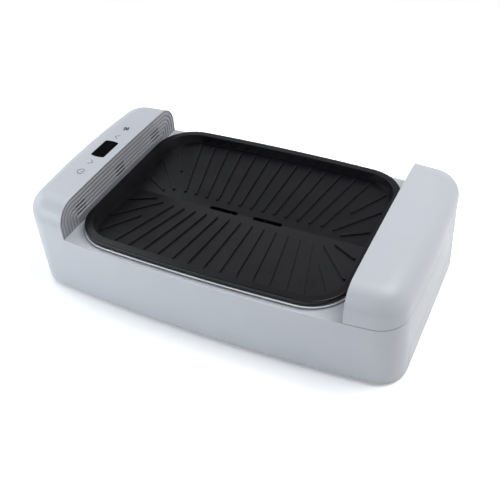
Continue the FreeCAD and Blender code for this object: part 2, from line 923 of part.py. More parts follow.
def bowl(name, top, grow):
    """The plate's bowl, drawn in towards the floor, grown by the wall for its outside."""
    body = new_body(name)
    mouth = rim_width - grow
    foot = floor_low - plate_wall - 1
    upper = sketch_on(body, name + "_mouth", "XY_Plane", top)
    draw_bowed_outline(upper, plate_half_length - mouth, plate_half_depth - mouth,
                       plate_bow_radius - mouth, plate_corner - mouth)
    lower = sketch_on(body, name + "_foot", "XY_Plane", foot)
    draw_bowed_outline(lower, plate_half_length - mouth - end_slope, plate_half_depth - mouth - side_slope,
                       plate_bow_radius - mouth, plate_corner - mouth)
    loft(body, name + "_loft", lower, upper)
    return body


def rib(name, start, end):
    """One raised bar with round ends, standing tall; its top is cut to the floor's slope later."""
    (x0, y0), (x1, y1) = start, end
    turn = math.atan2(number(y1) - number(y0), number(x1) - number(x0))
    span = math.hypot(number(x1) - number(x0), number(y1) - number(y0))
    half = rib_width.number / 2
    quarter = math.pi / 2
    bar = [
        Part.LineSegment(flat(0, -half), flat(span, -half)),
        arc(span, 0, half, -quarter, quarter),
        Part.LineSegment(flat(span, half), flat(0, half)),
        arc(0, 0, half, quarter, 3 * quarter),
    ]
    face = Part.Face(Part.Wire([edge.toShape() for edge in bar]))
    solid = face.extrude(FreeCAD.Vector(0, 0, number(rim_top - floor_low)))
    item = doc.addObject("Part::Feature", name)
    item.Shape = solid
    item.Placement = FreeCAD.Placement(
        FreeCAD.Vector(number(x0), number(y0), floor_low.number - 1),
        FreeCAD.Rotation(FreeCAD.Vector(0, 0, 1), math.degrees(turn)))
    return item


def plate_ribs():
    """Bars that fan out from the middle line, thirteen each side and three more to each corner."""
    ends = []
    for side in (-1, 1):
        for count in range(-6, 7):
            ends.append(((rib_pitch_inside * count, side * rib_inner_end),
                         (rib_pitch_outside * count, side * rib_outer_end)))
    for side_x in (-1, 1):
        for side_y in (-1, 1):
            for start, end in corner_ribs:
                ends.append(((side_x * start[0], side_y * start[1]), (side_x * end[0], side_y * end[1])))
    bars = [rib(f"rib_{index}", start, end) for index, (start, end) in enumerate(ends)]
    under = floor_wedge("under_ribs", 0.5, rim_top)
    over = floor_wedge("over_ribs", -rib_height, rim_top + margin)
    slab = cut("rib_slab", under, [over])
    return overlap("ribs", group("rib_bars", bars), slab)


def grill_plate():
    rim_bottom = rim_top - rim_depth
    rim_form = new_body("rim")
    outline = sketch_on(rim_form, "rim_outline", "XY_Plane", rim_bottom)
    draw_bowed_outline(outline, plate_half_length, plate_half_depth, plate_bow_radius, plate_corner)
    rim = pad(rim_form, "rim_pad", outline, rim_depth)
    round_edges(rim_form, "rim_edge", rim, rim_round, level(rim_top))
    outside = overlap("bowl_outside", bowl("bowl_outer", rim_bottom + 1, plate_wall),
                      floor_wedge("bowl_underside", plate_wall, rim_top))
    inside = overlap("bowl_inside", bowl("bowl_inner", rim_top, 0),
                     floor_wedge("bowl_floor", 0, rim_top + wall))
    cast = cut("bowl", join("casting", [rim_form, outside]), [inside])
    slots = []
    for side in (-1, 1):
        ends = sorted((side * drip_start, side * (drip_start + drip_length)), key=number)
        slots.append(rounded_block(f"drip_slot_{side + 1}", ends, (-drip_width / 2, drip_width / 2),
                                   drip_corner, floor_low - 2 * plate_wall, rim_top))
    return cut("plate", join("ribbed", [cast, plate_ribs()]), slots)


# Liner and heating element

def steel_liner():
    body = new_body("liner")
    flange = sketch_on(body, "flange_outline", "XY_Plane", flange_top)
    draw_bowed_outline(flange, plate_half_length + flange_reach, plate_half_depth + flange_reach,
                       plate_bow_radius + flange_reach, plate_corner + flange_reach)
    pad(body, "flange_pad", flange, sheet_steel + hem_depth, reverse=True)
    hem = sketch_on(body, "hem_outline", "XY_Plane", flange_top - sheet_steel)
    inset = flange_reach - sheet_steel
    draw_bowed_outline(hem, plate_half_length + inset, plate_half_depth + inset,
                       plate_bow_radius + inset, plate_corner + inset)
    pocket(body, "hem_hollow", hem, hem_depth + 1)
    wall_outline = sketch_on(body, "pan_outline", "XY_Plane", flange_top)
    draw_bowed_outline(wall_outline, liner_half_length, liner_half_depth, plate_bow_radius, liner_corner)
    pad(body, "pan_pad", wall_outline, flange_top - liner_floor, reverse=True)
    hollow = sketch_on(body, "hollow_outline", "XY_Plane", flange_top)
    draw_bowed_outline(hollow, liner_half_length - sheet_steel, liner_half_depth - sheet_steel,
                       plate_bow_radius - sheet_steel, liner_corner - sheet_steel)
    inside = pocket(body, "pan_hollow", hollow, flange_top - liner_floor - sheet_steel)
    inner = round_edges(body, "pan_corner", inside, pan_round - sheet_steel,
                        level(liner_floor + sheet_steel))
    round_edges(body, "pan_edge", inner, pan_round, level(liner_floor))
    drain = sketch_on(body, "drain_outline", "XY_Plane", liner_floor + 2 * sheet_steel)
    draw_rounded_rectangle(drain, (-drain_half_length, drain_half_length),
                           (-drain_half_width, drain_half_width), drain_corner)
    pocket(body, "drain_cut", drain, 4 * sheet_steel)
    ends = sketch_on(body, "tube_holes", "YZ_Plane", -liner_half_length - wall)
    for side in (-1, 1):
        draw_circle(ends, side * outer_run, element_height, bush_radius + running_gap)
    pocket(body, "tube_hole_cut", ends, 3 * wall, reverse=True)
    return join("liner_all", [body] + liner_tabs())


def liner_tabs():
    """Small tabs that carry the flange on the deck, three along each long side."""
    tabs = []
    for side in (-1, 1):
        for step in (-1, 0, 1):
            x = step * tab_spacing
            y = side * (plate_half_depth - flange_reach - x * x / (2 * plate_bow_radius))
            tabs.append(block(f"tab_{len(tabs)}", (x - tab_width / 2, x + tab_width / 2),
                              (y - sheet_steel, y + sheet_steel),
                              (deck_height, flange_top - sheet_steel / 2)))
    return tabs


def heating_element():
    """A sheathed tube laid in four runs, with three half turns, on one level."""
    body = new_body("element")
    path = sketch_on(body, "element_path", "XY_Plane", element_height)
    end_x = tube_end_x
    near, turn_x, outer = run_spacing / 2, run_end, outer_run
    quarter = math.pi / 2
    edges = [
        Part.LineSegment(flat(end_x, -outer), flat(turn_x, -outer)),
        arc(turn_x, -run_spacing, near, -quarter, quarter),
        Part.LineSegment(flat(turn_x, -near), flat(-turn_x, -near)),
        arc(-turn_x, 0, near, quarter, 3 * quarter),
        Part.LineSegment(flat(-turn_x, near), flat(turn_x, near)),
        arc(turn_x, run_spacing, near, -quarter, quarter),
        Part.LineSegment(flat(turn_x, outer), flat(end_x, outer)),
    ]
    path.addGeometry(edges, False)
    joins = [(0, 2, 1, 1), (1, 2, 2, 1), (2, 2, 3, 2), (3, 1, 4, 1), (4, 2, 5, 1), (5, 2, 6, 1)]
    for first, first_end, second, second_end in joins:
        path.addConstraint(Sketcher.Constraint("Tangent", first, first_end, second, second_end))
    fix_point(path, 0, 1, end_x, -outer)
    fix_point(path, 0, 2, turn_x, -outer)
    measure(path, "DistanceY", run_spacing, 1, 3, -1, 1)
    fix_point(path, 2, 2, -turn_x, -near)
    path.addConstraint(Sketcher.Constraint("PointOnObject", 3, 3, -1))
    fix_point(path, 4, 2, turn_x, near)
    measure(path, "DistanceY", run_spacing, -1, 1, 5, 3)
    fix_point(path, 6, 2, end_x, outer)
    section = sketch_on(body, "element_section", "YZ_Plane", end_x)
    draw_circle(section, -outer, element_height, tube_radius)
    pipe = body.newObject("PartDesign::AdditivePipe", "element_pipe")
    pipe.Profile = (section, [""])
    pipe.Spine = (path, [f"Edge{index}" for index in range(1, len(edges) + 1)])
    return body


def element_supports():
    """Two notched steel bars that carry the element's four runs."""
    bars = []
    low = liner_floor + sheet_steel
    ends = outer_run + support_overhang
    for side in (-1, 1):
        x = side * support_x
        tag = f"support_{side + 1}"
        bar = block(tag, (x - web_width / 2, x + web_width / 2), (-ends, ends), (low, element_height))
        notches = [rod(f"{tag}_notch_{index}", tube_radius + running_gap, 2 * web_width,
                       x - web_width, run_spacing * (index - 1.5), element_height, along="x")
                   for index in range(4)]
        foot = block(tag + "_foot", (x, x + side * support_foot) if side > 0 else (x - support_foot, x),
                     (-ends, ends), (low, low + sheet_steel))
        bars.append(cut(tag + "_bar", join(tag + "_all", [bar, foot]), notches))
    return group("supports", bars)


def element_bushes():
    """Ceramic bushes that carry the tube through the liner's end wall."""
    bushes = []
    start = -liner_half_length - bush_depth
    for side in (-1, 1):
        y = outer_run * side
        tag = f"bush_{side + 1}"
        flange = rod(tag + "_flange", bush_radius + bush_flange, bush_depth, start, y, element_height,
                     along="x")
        spigot = rod(tag + "_spigot", bush_radius, 2 * bush_depth, start, y, element_height, along="x")
        bore = rod(tag + "_bore", tube_radius + running_gap, 3 * bush_depth, start - 1, y, element_height,
                   along="x")
        bushes.append(cut(tag, join(tag + "_all", [flange, spigot]), [bore]))
    return group("bushes", bushes)


def element_terminals():
    """The tube's cold pins with their flat push-on tabs."""
    terminals = []
    pin_length = terminal_length / 2
    for side in (-1, 1):
        y = outer_run * side
        tag = f"terminal_{side + 1}"
        pin = rod(tag + "_pin", screw_radius, pin_length, tube_end_x - pin_length, y, element_height,
                  along="x")
        tip = tube_end_x - pin_length - terminal_length
        tab = block(tag + "_tab", (tip, tube_end_x - pin_length + 1),
                    (y - terminal_width / 2, y + terminal_width / 2),
                    (element_height - terminal_thickness / 2, element_height + terminal_thickness / 2))
        terminals.append(join(tag, [pin, tab]))
    return group("terminals", terminals)


def thermal_cutout():
    """The disc thermostat that stops the element if the liner overheats."""
    outside = -liner_half_length
    z = element_height - cutout_drop
    flange = block("cutout_flange", (outside - 1, outside), (-cutout_half_width, cutout_half_width),
                   (z - cutout_half_height, z + cutout_half_height))
    back = outside - cutout_depth
    cup = rod("cutout_cup", cutout_radius, cutout_depth, back, 0, z, along="x")
    blades = []
    for side in (-1, 1):
        y = side * cutout_radius / 2
        blades.append(block(f"cutout_blade_{side + 1}", (back - cutout_depth, back + 1),
                            (y - terminal_thickness / 2, y + terminal_thickness / 2),
                            (z - terminal_width / 2, z + terminal_width / 2)))
    return join("cutout", [flange, cup] + blades)


# Drip drawer

def drip_tray():
    body = new_body("tray")
    lip = sketch_on(body, "tray_lip_outline", "XY_Plane", tray_top)
    wide = tray_half_width + tray_lip
    draw_rounded_rectangle(lip, (-tray_back, front_inside), (-wide, wide), lip_corner)
    pad(body, "tray_lip_pad", lip, tray_wall, reverse=True)
    outline = sketch_on(body, "tray_outline", "XY_Plane", tray_top)
    start = tray_wall - tray_back + rail_guide
    draw_rounded_rectangle(outline, (start, front_inside), (-tray_half_width, tray_half_width), tray_corner)
    pad(body, "tray_pad", outline, tray_top - tray_floor, reverse=True)
    hollow = sketch_on(body, "tray_hollow_outline", "XY_Plane", tray_top)
    half = tray_half_width - tray_wall
    draw_rounded_rectangle(hollow, (start + tray_wall, front_inside - tray_wall), (-half, half),
                           tray_corner - tray_wall)
    scoop = pocket(body, "tray_hollow", hollow, tray_top - tray_floor - tray_wall)
    inner = round_edges(body, "tray_corner_round", scoop, tray_round - tray_wall,
                        level(tray_floor + tray_wall))
    round_edges(body, "tray_edge", inner, tray_round, level(tray_floor))
    holes = [rod(f"tray_hole_{index}", screw_radius, 3 * tray_wall, front_inside - 2 * tray_wall, y, z,
                 along="x")
             for index, (y, z) in enumerate(front_screw_places())]
    return cut("tray_drilled", body, holes)


def front_screw_places():
    z = (tray_floor + tray_top) / 2
    return [(side * y, z) for y in (front_screw_inner, front_screw_outer) for side in (-1, 1)]


def drawer_front(outer):
    """The front cut from the housing's own form, so that it lies flush with the end wall."""
    deep = base_lip / 2
    zone = block("front_zone", (front_inside, base_half_length + wall),
                 (-drawer_half_width, drawer_half_width), (0, drawer_top))
    hollow = block("front_hollow", (front_inside - 1, front_inside + deep),
                   (wall - drawer_half_width, drawer_half_width - wall),
                   (foot_height + wall, drawer_top - wall))
    bosses = []
    for y, z in front_screw_places():
        boss = rod(f"front_boss_{len(bosses)}", front_post_radius, deep + wall / 2, front_inside, y, z,
                   along="x")
        drill = rod(f"front_drill_{len(bosses)}", screw_radius - pilot, deep, front_inside, y, z, along="x")
        bosses.append(cut(f"front_post_{len(bosses)}", boss, [drill]))
    shell = cut("front_shell", overlap("front_form", outer, zone), [hollow])
    return join("front", [shell] + bosses)


def drawer_screws():
    seat = front_inside - tray_wall
    screws = [lying_screw(f"drawer_screw_{index}", seat, y, z, short_screw)
              for index, (y, z) in enumerate(front_screw_places())]
    return group("front_screws", screws)


def drawer_rail(name, side):
    """A folded steel runner on the bottom plate, under the tray's lip."""
    body = new_body(name)
    section = sketch_on(body, name + "_section", "YZ_Plane", -tray_back)
    shelf = tray_top - tray_wall - fit
    near = tray_half_width + 4 * fit
    web = tray_half_width + tray_lip + 4 * fit
    outside = web + rail_sheet
    points = [
        (near, shelf - rail_sheet), (web, shelf - rail_sheet),
        (web, floor_top), (web + rail_foot, floor_top),
        (web + rail_foot, floor_top + rail_sheet), (outside, floor_top + rail_sheet),
        (outside, shelf + rail_guide), (web, shelf + rail_guide),
        (web, shelf), (near, shelf),
    ]
    draw_polygon(section, [(side * y, z) for y, z in points])
    pad(body, name + "_bar", section, tray_back + front_inside - 2 * wall)
    return body


# Towers

def tower_panel(name, side, bottom, columns):
    """A ribbed panel that fills the tower's end, with rows of slots in the grooves between its ridges."""
    body = new_body(name)
    ridge_face = side * (tower_face + ridge_height)
    back = side * (tower_face + panel_thickness + ridge_height)
    section = sketch_on(body, name + "_outline", "YZ_Plane", back)
    draw_inset_arch(section, panel_lip + panel_fit, bottom)
    pad(body, name + "_pad", section, panel_thickness, reverse=side > 0)
    for count in range(RIDGE_COUNT):
        outside = ridge_pitch * (count + 1) - ridge_width / 2
        rise = sketch_on(body, f"{name}_rise_{count}", "YZ_Plane", ridge_face)
        draw_inset_arch(rise, outside, bottom + wall)
        pad(body, f"{name}_ridge_{count}", rise, ridge_height, reverse=side > 0)
        fall = sketch_on(body, f"{name}_fall_{count}", "YZ_Plane", side * tower_face)
        draw_inset_arch(fall, outside + ridge_width, bottom + wall)
        pocket(body, f"{name}_groove_{count}", fall, ridge_height, reverse=side < 0)
    slots = []
    ends = sorted((side * (tower_face - wall), side * (tower_face + 2 * wall)), key=number)
    for row in SLOT_ROWS:
        z = tower_height - ridge_pitch * (row + 0.5)
        for column in columns:
            y = slot_middle + slot_pitch * column
            slots.append(block(f"{name}_slot_{len(slots)}", ends,
                               (y - slot_length / 2, y + slot_length / 2),
                               (z - slot_height / 2, z + slot_height / 2)))
    return cut(name + "_slotted", body, slots)


def panel_rebate(name, side, bottom):
    """The step inside a tower's end in which its panel lies, within a thin lip."""
    body = new_body(name)
    section = sketch_on(body, name + "_outline", "YZ_Plane", side * tower_face)
    draw_inset_arch(section, panel_lip, bottom)
    pad(body, name + "_pad", section, ridge_height + panel_thickness + fit, reverse=side < 0)
    return body


def draw_inset_arch(sketch, inset, bottom):
    """The tower's arch drawn in by an inset; its shoulders never get sharper than 1 mm."""
    shoulder = arch_round - inset
    if shoulder.number < 1:
        shoulder = 1
    draw_arch(sketch, tower_half_width - inset, bottom, tower_height - inset, shoulder, crown_radius - inset)


def display_window():
    return window_block("window", Size(0, "0"), tower_height - window_thickness, tower_height)


def control_board():
    z = control_board_height
    board = block("board", (-window_x - control_board_half_width, -window_x + control_board_half_width),
                  (-control_board_half_length, control_board_half_length), (z, z + board_thickness))
    holes = [rod(f"board_hole_{index}", screw_radius, 3 * board_thickness, x, y, z - board_thickness)
             for index, (x, y) in enumerate(board_screw_places())]
    return cut("board_drilled", board, holes)


def control_board_screws():
    screws = [screw(f"board_screw_{index}", x, y, control_board_height, short_screw)
              for index, (x, y) in enumerate(board_screw_places())]
    return group("board_screws", screws)


def display_module():
    """The digit block that stands on the board under the window."""
    x, y = window_place(digits_inset)
    low = control_board_height + board_thickness
    return block("digits_case", x, y, (low, tower_height - window_thickness - 2 * fit))


def touch_pads():
    """Springs of sensing foam between the board and the touch icons, under the crowned roof."""
    low = control_board_height + board_thickness
    places = (-touch_near, -touch_near_inner, touch_far_inner, touch_far)
    pads = []
    for y in places:
        under_roof = tower_height - wall - fit - y * y / (2 * crown_radius)
        pads.append(rod(f"touch_{len(pads)}", touch_radius, under_roof - low, -window_x, y, low))
    return group("touch_springs", pads)


def tower_cover(outer, inner):
    """The lift-off cover over the suction side."""
    wide = deck_half_depth + margin
    zone = block("cover_zone", (tower_face, base_half_length + margin), (-wide, wide),
                 (deck_height + seam, tower_height + margin))
    seat = panel_rebate("intake_seat", 1, deck_height - wall)
    shell = cut("cover_shell", overlap("cover_form", outer, zone), [inner, seat])
    return join("cover", [shell] + cover_pegs() + filter_hangers())


def cover_pegs():
    """The pegs that locate the cover, each on a short web to its wall."""
    pegs = []
    half = web_width / 2
    low, high = deck_height + fit, deck_height + peg_length - peg_dip
    for x, y in peg_places():
        tag = f"peg_{len(pegs)}"
        peg = rod(tag, peg_radius, peg_length, x, y, deck_height - peg_dip)
        if number(x) == number(end_peg_x):
            web = block(tag + "_web", (x, end_peg_wall - wall / 2), (y - half, y + half), (low, high))
        else:
            wall_y = side_peg_y + side_peg_web
            span = (y, wall_y) if number(y) > 0 else (-wall_y, y)
            web = block(tag + "_web", (x - half, x + half), span, (low, high))
        pegs.append(join(tag + "_all", [peg, web]))
    return pegs


def filter_hangers():
    """Hooks under the cover's roof that hold the grease filter against the grille."""
    hangers = []
    half = web_width / 2
    for step in (-1, 0, 1):
        y = step * hanger_spacing
        tag = f"hanger_{len(hangers)}"
        drop = block(tag, (filter_front, filter_back + fit + web_width), (y - half, y + half),
                     (filter_top + fit, tower_height - wall / 2))
        hook = block(tag + "_hook", (filter_back + fit, filter_back + fit + web_width), (y - half, y + half),
                     (filter_top - 2 * filter_edge, filter_top + wall))
        hangers.append(join(tag + "_all", [drop, hook]))
    return hangers


def filter_frame():
    half = filter_half_width
    outside = block("filter_outside", (filter_front, filter_back), (-half, half), (filter_low, filter_top))
    window = block("filter_window", (filter_front - 1, filter_back + 1),
                   (filter_edge - half, half - filter_edge),
                   (filter_low + filter_edge, filter_top - filter_edge))
    groove = block("filter_groove", (filter_front + filter_inset, filter_back - filter_inset),
                   (filter_inset - half, half - filter_inset),
                   (filter_low + filter_inset, filter_top - filter_inset))
    return cut("filter_ring", outside, [window, groove])


def filter_mesh():
    """The pad of expanded aluminium mesh that traps the grease."""
    inset = filter_inset + running_gap
    half = filter_half_width
    return block("mesh", (filter_front + inset, filter_back - inset), (inset - half, half - inset),
                 (filter_low + inset, filter_top - inset))


# Blowers. Each is built at the origin, standing on its floor with its mouth upwards.

def settle(item, side):
    """Puts a blower piece in its bay; the left one hangs mouth down over the bottom slots."""
    if side < 0:
        item.Placement = FreeCAD.Placement(FreeCAD.Vector(), FreeCAD.Rotation(FreeCAD.Vector(1, 0, 0), 180))
        place(item, -blower_x, left_blower_y, left_blower_top)
    else:
        place(item, blower_x, right_blower_y, shelf_height + shelf_thickness)
    return item


def scroll_span(side):
    """The outlet duct's span in X and Y; it leaves the scroll at the edge away from the tower's end."""
    outer_r = case_radius + case_wall
    length = right_duct if side > 0 else left_duct
    if side > 0:
        return (-outer_r, -2 * case_wall), (0, length)
    return (2 * case_wall, outer_r), (-length, 0)


def blower_case(side):
    tag = "left_case" if side < 0 else "right_case"
    x, y = scroll_span(side)
    scroll = rod(tag + "_scroll", case_radius + case_wall, case_height, 0, 0, 0)
    duct = block(tag + "_duct", x, y, (0, case_height))
    inside = rod(tag + "_inside", case_radius, case_height, 0, 0, case_wall)
    open_y = (y[0] - 1, y[1]) if side < 0 else (y[0], y[1] + 1)
    clear = block(tag + "_clear", (x[0] + case_wall, x[1] - case_wall), open_y, (case_wall, case_height + 1))
    ears = []
    drills = []
    for ex, ey in ear_places(side):
        ears.append(rod(f"{tag}_ear_{len(ears)}", ear_radius, ear_height, ex, ey, 0))
        drills.append(rod(f"{tag}_drill_{len(drills)}", screw_radius, 3 * ear_height, ex, ey, -ear_height))
    return cut(tag, join(tag + "_all", [scroll, duct] + ears), [inside, clear] + drills)


def ear_places(side):
    """The three fixing ears round a scroll, clear of its duct."""
    places = []
    for angle in (-60, 60, 180):
        turn = math.radians(angle)
        places.append((side * ear_reach * math.cos(turn), side * ear_reach * math.sin(turn)))
    return places


def blower_lid(side):
    tag = "left_lid" if side < 0 else "right_lid"
    x, y = scroll_span(side)
    disc = rod(tag + "_disc", case_radius + case_wall, case_wall, 0, 0, case_height)
    roof = block(tag + "_roof", x, y, (case_height, case_height + case_wall))
    mouth = rod(tag + "_mouth", wheel_radius - eye_margin, 3 * case_wall, 0, 0, case_height - case_wall)
    return cut(tag, join(tag + "_all", [disc, roof]), [mouth])


def left_blower_spacers():
    """Bored posts on the bottom plate that hold the left blower clear of the slots."""
    spacers = []
    length = left_blower_top - floor_top - ear_height
    for ex, ey in ear_places(-1):
        tag = f"blower_spacer_{len(spacers)}"
        post = rod(tag + "_post", spacer_radius, length, ex, ey, ear_height)
        bore = rod(tag + "_bore", screw_radius - pilot, base_screw, ex, ey, ear_height - 1)
        spacers.append(cut(tag, post, [bore]))
    return group("blower_spacers", spacers)


def blower_motor(side):
    tag = "left_motor" if side < 0 else "right_motor"
    stator = rod(tag + "_stator", motor_radius, motor_height, 0, 0, case_wall)
    shaft = rod(tag + "_shaft", shaft_radius, shaft_length, 0, 0, case_wall + 1)
    return join(tag, [stator, shaft])


def blower_wheel(side):
    """A forward-curved wheel: a hub cup over the motor, a back disc, blades and an end ring."""
    tag = "left_wheel" if side < 0 else "right_wheel"
    body = new_body(tag)
    low = case_wall + 1
    high = low + wheel_height
    bore = shaft_radius + running_gap
    boss = shaft_radius + 2 * hub_wall
    cup = high - 5 * hub_wall
    section = sketch_on(body, tag + "_section", "XZ_Plane")
    draw_polygon(section, [
        (bore, cup), (bore, high - hub_wall), (boss, high - hub_wall), (boss, high - 2 * hub_wall),
        (hub_radius, cup), (hub_radius, low + hub_wall), (wheel_radius, low + hub_wall),
        (wheel_radius, low), (hub_radius - hub_wall, low), (hub_radius - hub_wall, cup - hub_wall),
        (boss + hub_wall, cup), (boss, cup),
    ])
    hub = body.newObject("PartDesign::Revolution", tag + "_hub")
    hub.Profile = (section, [""])
    hub.ReferenceAxis = (section, ["V_Axis"])
    hub.Angle = 360
    blade = sketch_on(body, tag + "_blade_outline", "XY_Plane", low)
    draw_blade(blade, side)
    vane = pad(body, tag + "_blade", blade, wheel_height)
    around = body.newObject("PartDesign::PolarPattern", tag + "_blades")
    around.Originals = [vane]
    around.Axis = (blade, ["N_Axis"])
    around.Angle = 360
    around.Occurrences = 20
    body.Tip = around
    doc.recompute()
    ring = sketch_on(body, tag + "_ring_outline", "XY_Plane", high)
    draw_circle(ring, 0, 0, wheel_radius)
    draw_circle(ring, 0, 0, wheel_radius - hub_wall)
    pad(body, tag + "_ring", ring, hub_wall, reverse=True)
    return body


def draw_blade(sketch, side):
    """One curved blade: two arcs a little apart, closed by short lines."""
    tip = flat(wheel_radius - running_gap, 0)
    root = flat(wheel_radius - blade_depth, 0)
    bulge = (tip + root) / 2 + flat(0, side * blade_bulge)
    thick = flat(0, side * blade_thickness)
    sketch.addGeometry([
        Part.Arc(tip, bulge, root),
        Part.LineSegment(root, root + thick),
        Part.Arc(root + thick, bulge + thick, tip + thick),
        Part.LineSegment(tip + thick, tip),
    ], False)


def blower_screws(side):
    tag = "left_blower_screw" if side < 0 else "right_blower_screw"
    screws = []
    for ex, ey in ear_places(side):
        name = f"{tag}_{len(screws)}"
        if side < 0:
            screws.append(screw(name, ex, ey, 0, base_screw))
        else:
            screws.append(screw(name, ex, ey, ear_height, ear_height + shelf_thickness, up=False))
    return group(tag + "s", screws)


def blower_shelf():
    """The shelf over the drawer that carries the suction blower."""
    x = (liner_half_length - shelf_overrun, deck_half_length - wall - shelf_end_gap)
    shelf = rounded_block("shelf", x, (-shelf_half_length, shelf_half_length), shelf_corner,
                          shelf_height, shelf_height + shelf_thickness)
    holes = [rod(f"shelf_hole_{side + 1}", screw_radius, 3 * shelf_thickness, end_post_x, side * end_post_y,
                 shelf_height - shelf_thickness) for side in (-1, 1)]
    for ex, ey in ear_places(1):
        holes.append(rod(f"shelf_drill_{len(holes)}", screw_radius - pilot, 3 * shelf_thickness,
                         blower_x + ex, right_blower_y + ey, shelf_height - shelf_thickness))
    return cut("shelf_drilled", shelf, holes)


def shelf_screws():
    screws = [screw(f"shelf_screw_{side + 1}", end_post_x, side * end_post_y,
                    shelf_height + shelf_thickness, base_screw / 2, up=False)
              for side in (-1, 1)]
    return group("shelf_screw_pair", screws)


# Power

def power_inlet():
    """The recessed appliance socket in the back wall."""
    x = (-inlet_x - inlet_half_length + fit, -inlet_x + inlet_half_length - fit)
    z = (inlet_z - inlet_half_height + fit, inlet_z + inlet_half_height - fit)
    body = block("inlet_body", x, (inlet_face - inlet_body, inlet_face), z)
    mouth = block("inlet_mouth", (x[0] + inlet_wall, x[1] - inlet_wall),
                  (inlet_face - inlet_mouth, inlet_face + 1),
                  (z[0] + inlet_wall, z[1] - inlet_wall))
    wing_back = inlet_face - inlet_wing_setback
    wings = block("inlet_wings", (x[0] - inlet_wing, x[1] + inlet_wing), (wing_back - 2, wing_back),
                  (z[0] - 4 * fit, z[1] + 4 * fit))
    return cut("inlet", join("inlet_all", [body, wings]), [mouth])


def inlet_pins():
    """Two pins above and one below, standing on the socket's floor."""
    pins = []
    drop = pin_height / 4
    for x, z in ((-pin_spacing, drop), (pin_spacing, drop), (0, -2.5 * drop)):
        pins.append(block(f"inlet_pin_{len(pins)}",
                          (x - inlet_x - pin_width / 2, x - inlet_x + pin_width / 2),
                          (inlet_face - inlet_mouth, inlet_face - inlet_mouth + pin_length),
                          (inlet_z + z - pin_height / 2, inlet_z + z + pin_height / 2)))
    return group("pins", pins)


def power_board():
    x, y, z = -power_board_x, power_board_y, power_board_low
    board = block("mains_board", (x - power_board_half_width, x + power_board_half_width),
                  (y - power_board_half_length, y + power_board_half_length), (z, z + board_thickness))
    holes = [rod(f"mains_hole_{index}", screw_radius, 3 * board_thickness, x, y, z - board_thickness)
             for index, (x, y) in enumerate(power_screw_places())]
    return cut("mains_drilled", board, holes)


def power_screw_places():
    edge = head_radius + panel_gap
    return [(-power_board_x + side_x * (power_board_half_width - edge),
             power_board_y + side_y * (power_board_half_length - edge))
            for side_x in (-1, 1) for side_y in (-1, 1)]


def power_board_parts():
    """The relay, transformer, two capacitors and fuse that stand on the power board."""
    x, y, z = -power_board_x, power_board_y, power_board_low + board_thickness
    left = x - power_board_half_width + part_inset
    right = x + power_board_half_width - part_inset
    near = y - power_board_half_length + part_setback
    relay = block("relay", (left, left + relay_width), (near, near + relay_length), (z, z + relay_height))
    transformer = block("transformer", (right - coil_width, right), (near, near + relay_length),
                        (z, z + coil_height))
    row = y + power_board_half_length / 4
    large = rod("capacitor_large", capacitor_radius, capacitor_height, left + relay_width / 2, row, z)
    small = rod("capacitor_small", small_capacitor_radius, small_capacitor_height,
                x + small_capacitor_radius / 2, row, z)
    fuse_x, fuse_y = x + power_board_half_width / 2, y + power_board_half_length / 3
    half = fuse_radius + fit
    clip = block("fuse_clip", (fuse_x - half, fuse_x + half),
                 (fuse_y, fuse_y + fuse_length + 2 * web_width), (z, z + 1))
    fuse = rod("fuse", fuse_radius, fuse_length, fuse_x, fuse_y + web_width, z + fuse_radius + fit,
               along="y")
    return group("mains_parts", [relay, transformer, large, small, join("fuse_all", [fuse, clip])])


def power_board_spacers():
    spacers = []
    for x, y in power_screw_places():
        tag = f"spacer_{len(spacers)}"
        post = rod(tag + "_post", spacer_radius, power_board_gap, x, y, floor_top)
        bore = rod(tag + "_bore", screw_radius - pilot, 2 * power_board_gap, x, y, floor_top - 1)
        spacers.append(cut(tag, post, [bore]))
    return group("spacers", spacers)


def power_board_screws():
    screws = [screw(f"mains_screw_{index}", x, y, power_board_low + board_thickness, short_screw, up=False)
              for index, (x, y) in enumerate(power_screw_places())]
    return group("mains_screws", screws)


doc = FreeCAD.newDocument("grill")
sheet = make_sheet()
nodes = {}

plate_half_length = cell("plate_half_length")
plate_half_depth = cell("plate_half_depth")
plate_bow = cell("plate_bow")
plate_corner = cell("plate_corner")
rim_lift = cell("rim_lift")
rim_depth = cell("rim_depth")
rim_width = cell("rim_width")
rim_round = cell("rim_round")
end_slope = cell("end_slope")
side_slope = cell("side_slope")
plate_wall = cell("plate_wall")
pan_depth = cell("pan_depth")
floor_rise = cell("floor_rise")
floor_span = cell("floor_span")
rib_width = cell("rib_width")
rib_height = cell("rib_height")
fan_inner_inset = cell("fan_inner_inset")
fan_outer_inset = cell("fan_outer_inset")
rib_inner_end = cell("rib_inner_end")
rib_side_inset = cell("rib_side_inset")
outer_rib_start = cell("outer_rib_start")
outer_rib_start_drop = cell("outer_rib_start_drop")
outer_rib_end = cell("outer_rib_end")
outer_rib_end_drop = cell("outer_rib_end_drop")
middle_rib_start = cell("middle_rib_start")
middle_rib_lead = cell("middle_rib_lead")
middle_rib_end = cell("middle_rib_end")
middle_rib_end_drop = cell("middle_rib_end_drop")
inner_rib_start = cell("inner_rib_start")
inner_rib_lead = cell("inner_rib_lead")
inner_rib_end = cell("inner_rib_end")
inner_rib_rise = cell("inner_rib_rise")
drip_start = cell("drip_start")
drip_length = cell("drip_length")
drip_width = cell("drip_width")
drip_corner = cell("drip_corner")
tower_gap = cell("tower_gap")
tower_length = cell("tower_length")
tower_rise = cell("tower_rise")
crown = cell("crown")
ledge = cell("ledge")
end_flare = cell("end_flare")
side_draft = cell("side_draft")
bow = cell("bow")
end_bow = cell("end_bow")
corner = cell("corner")
deck_height = cell("deck_height")
arch_round = cell("arch_round")
base_round = cell("base_round")
wall = cell("wall")
foot_height = cell("foot_height")
foot_end_inset = cell("foot_end_inset")
foot_side_inset = cell("foot_side_inset")
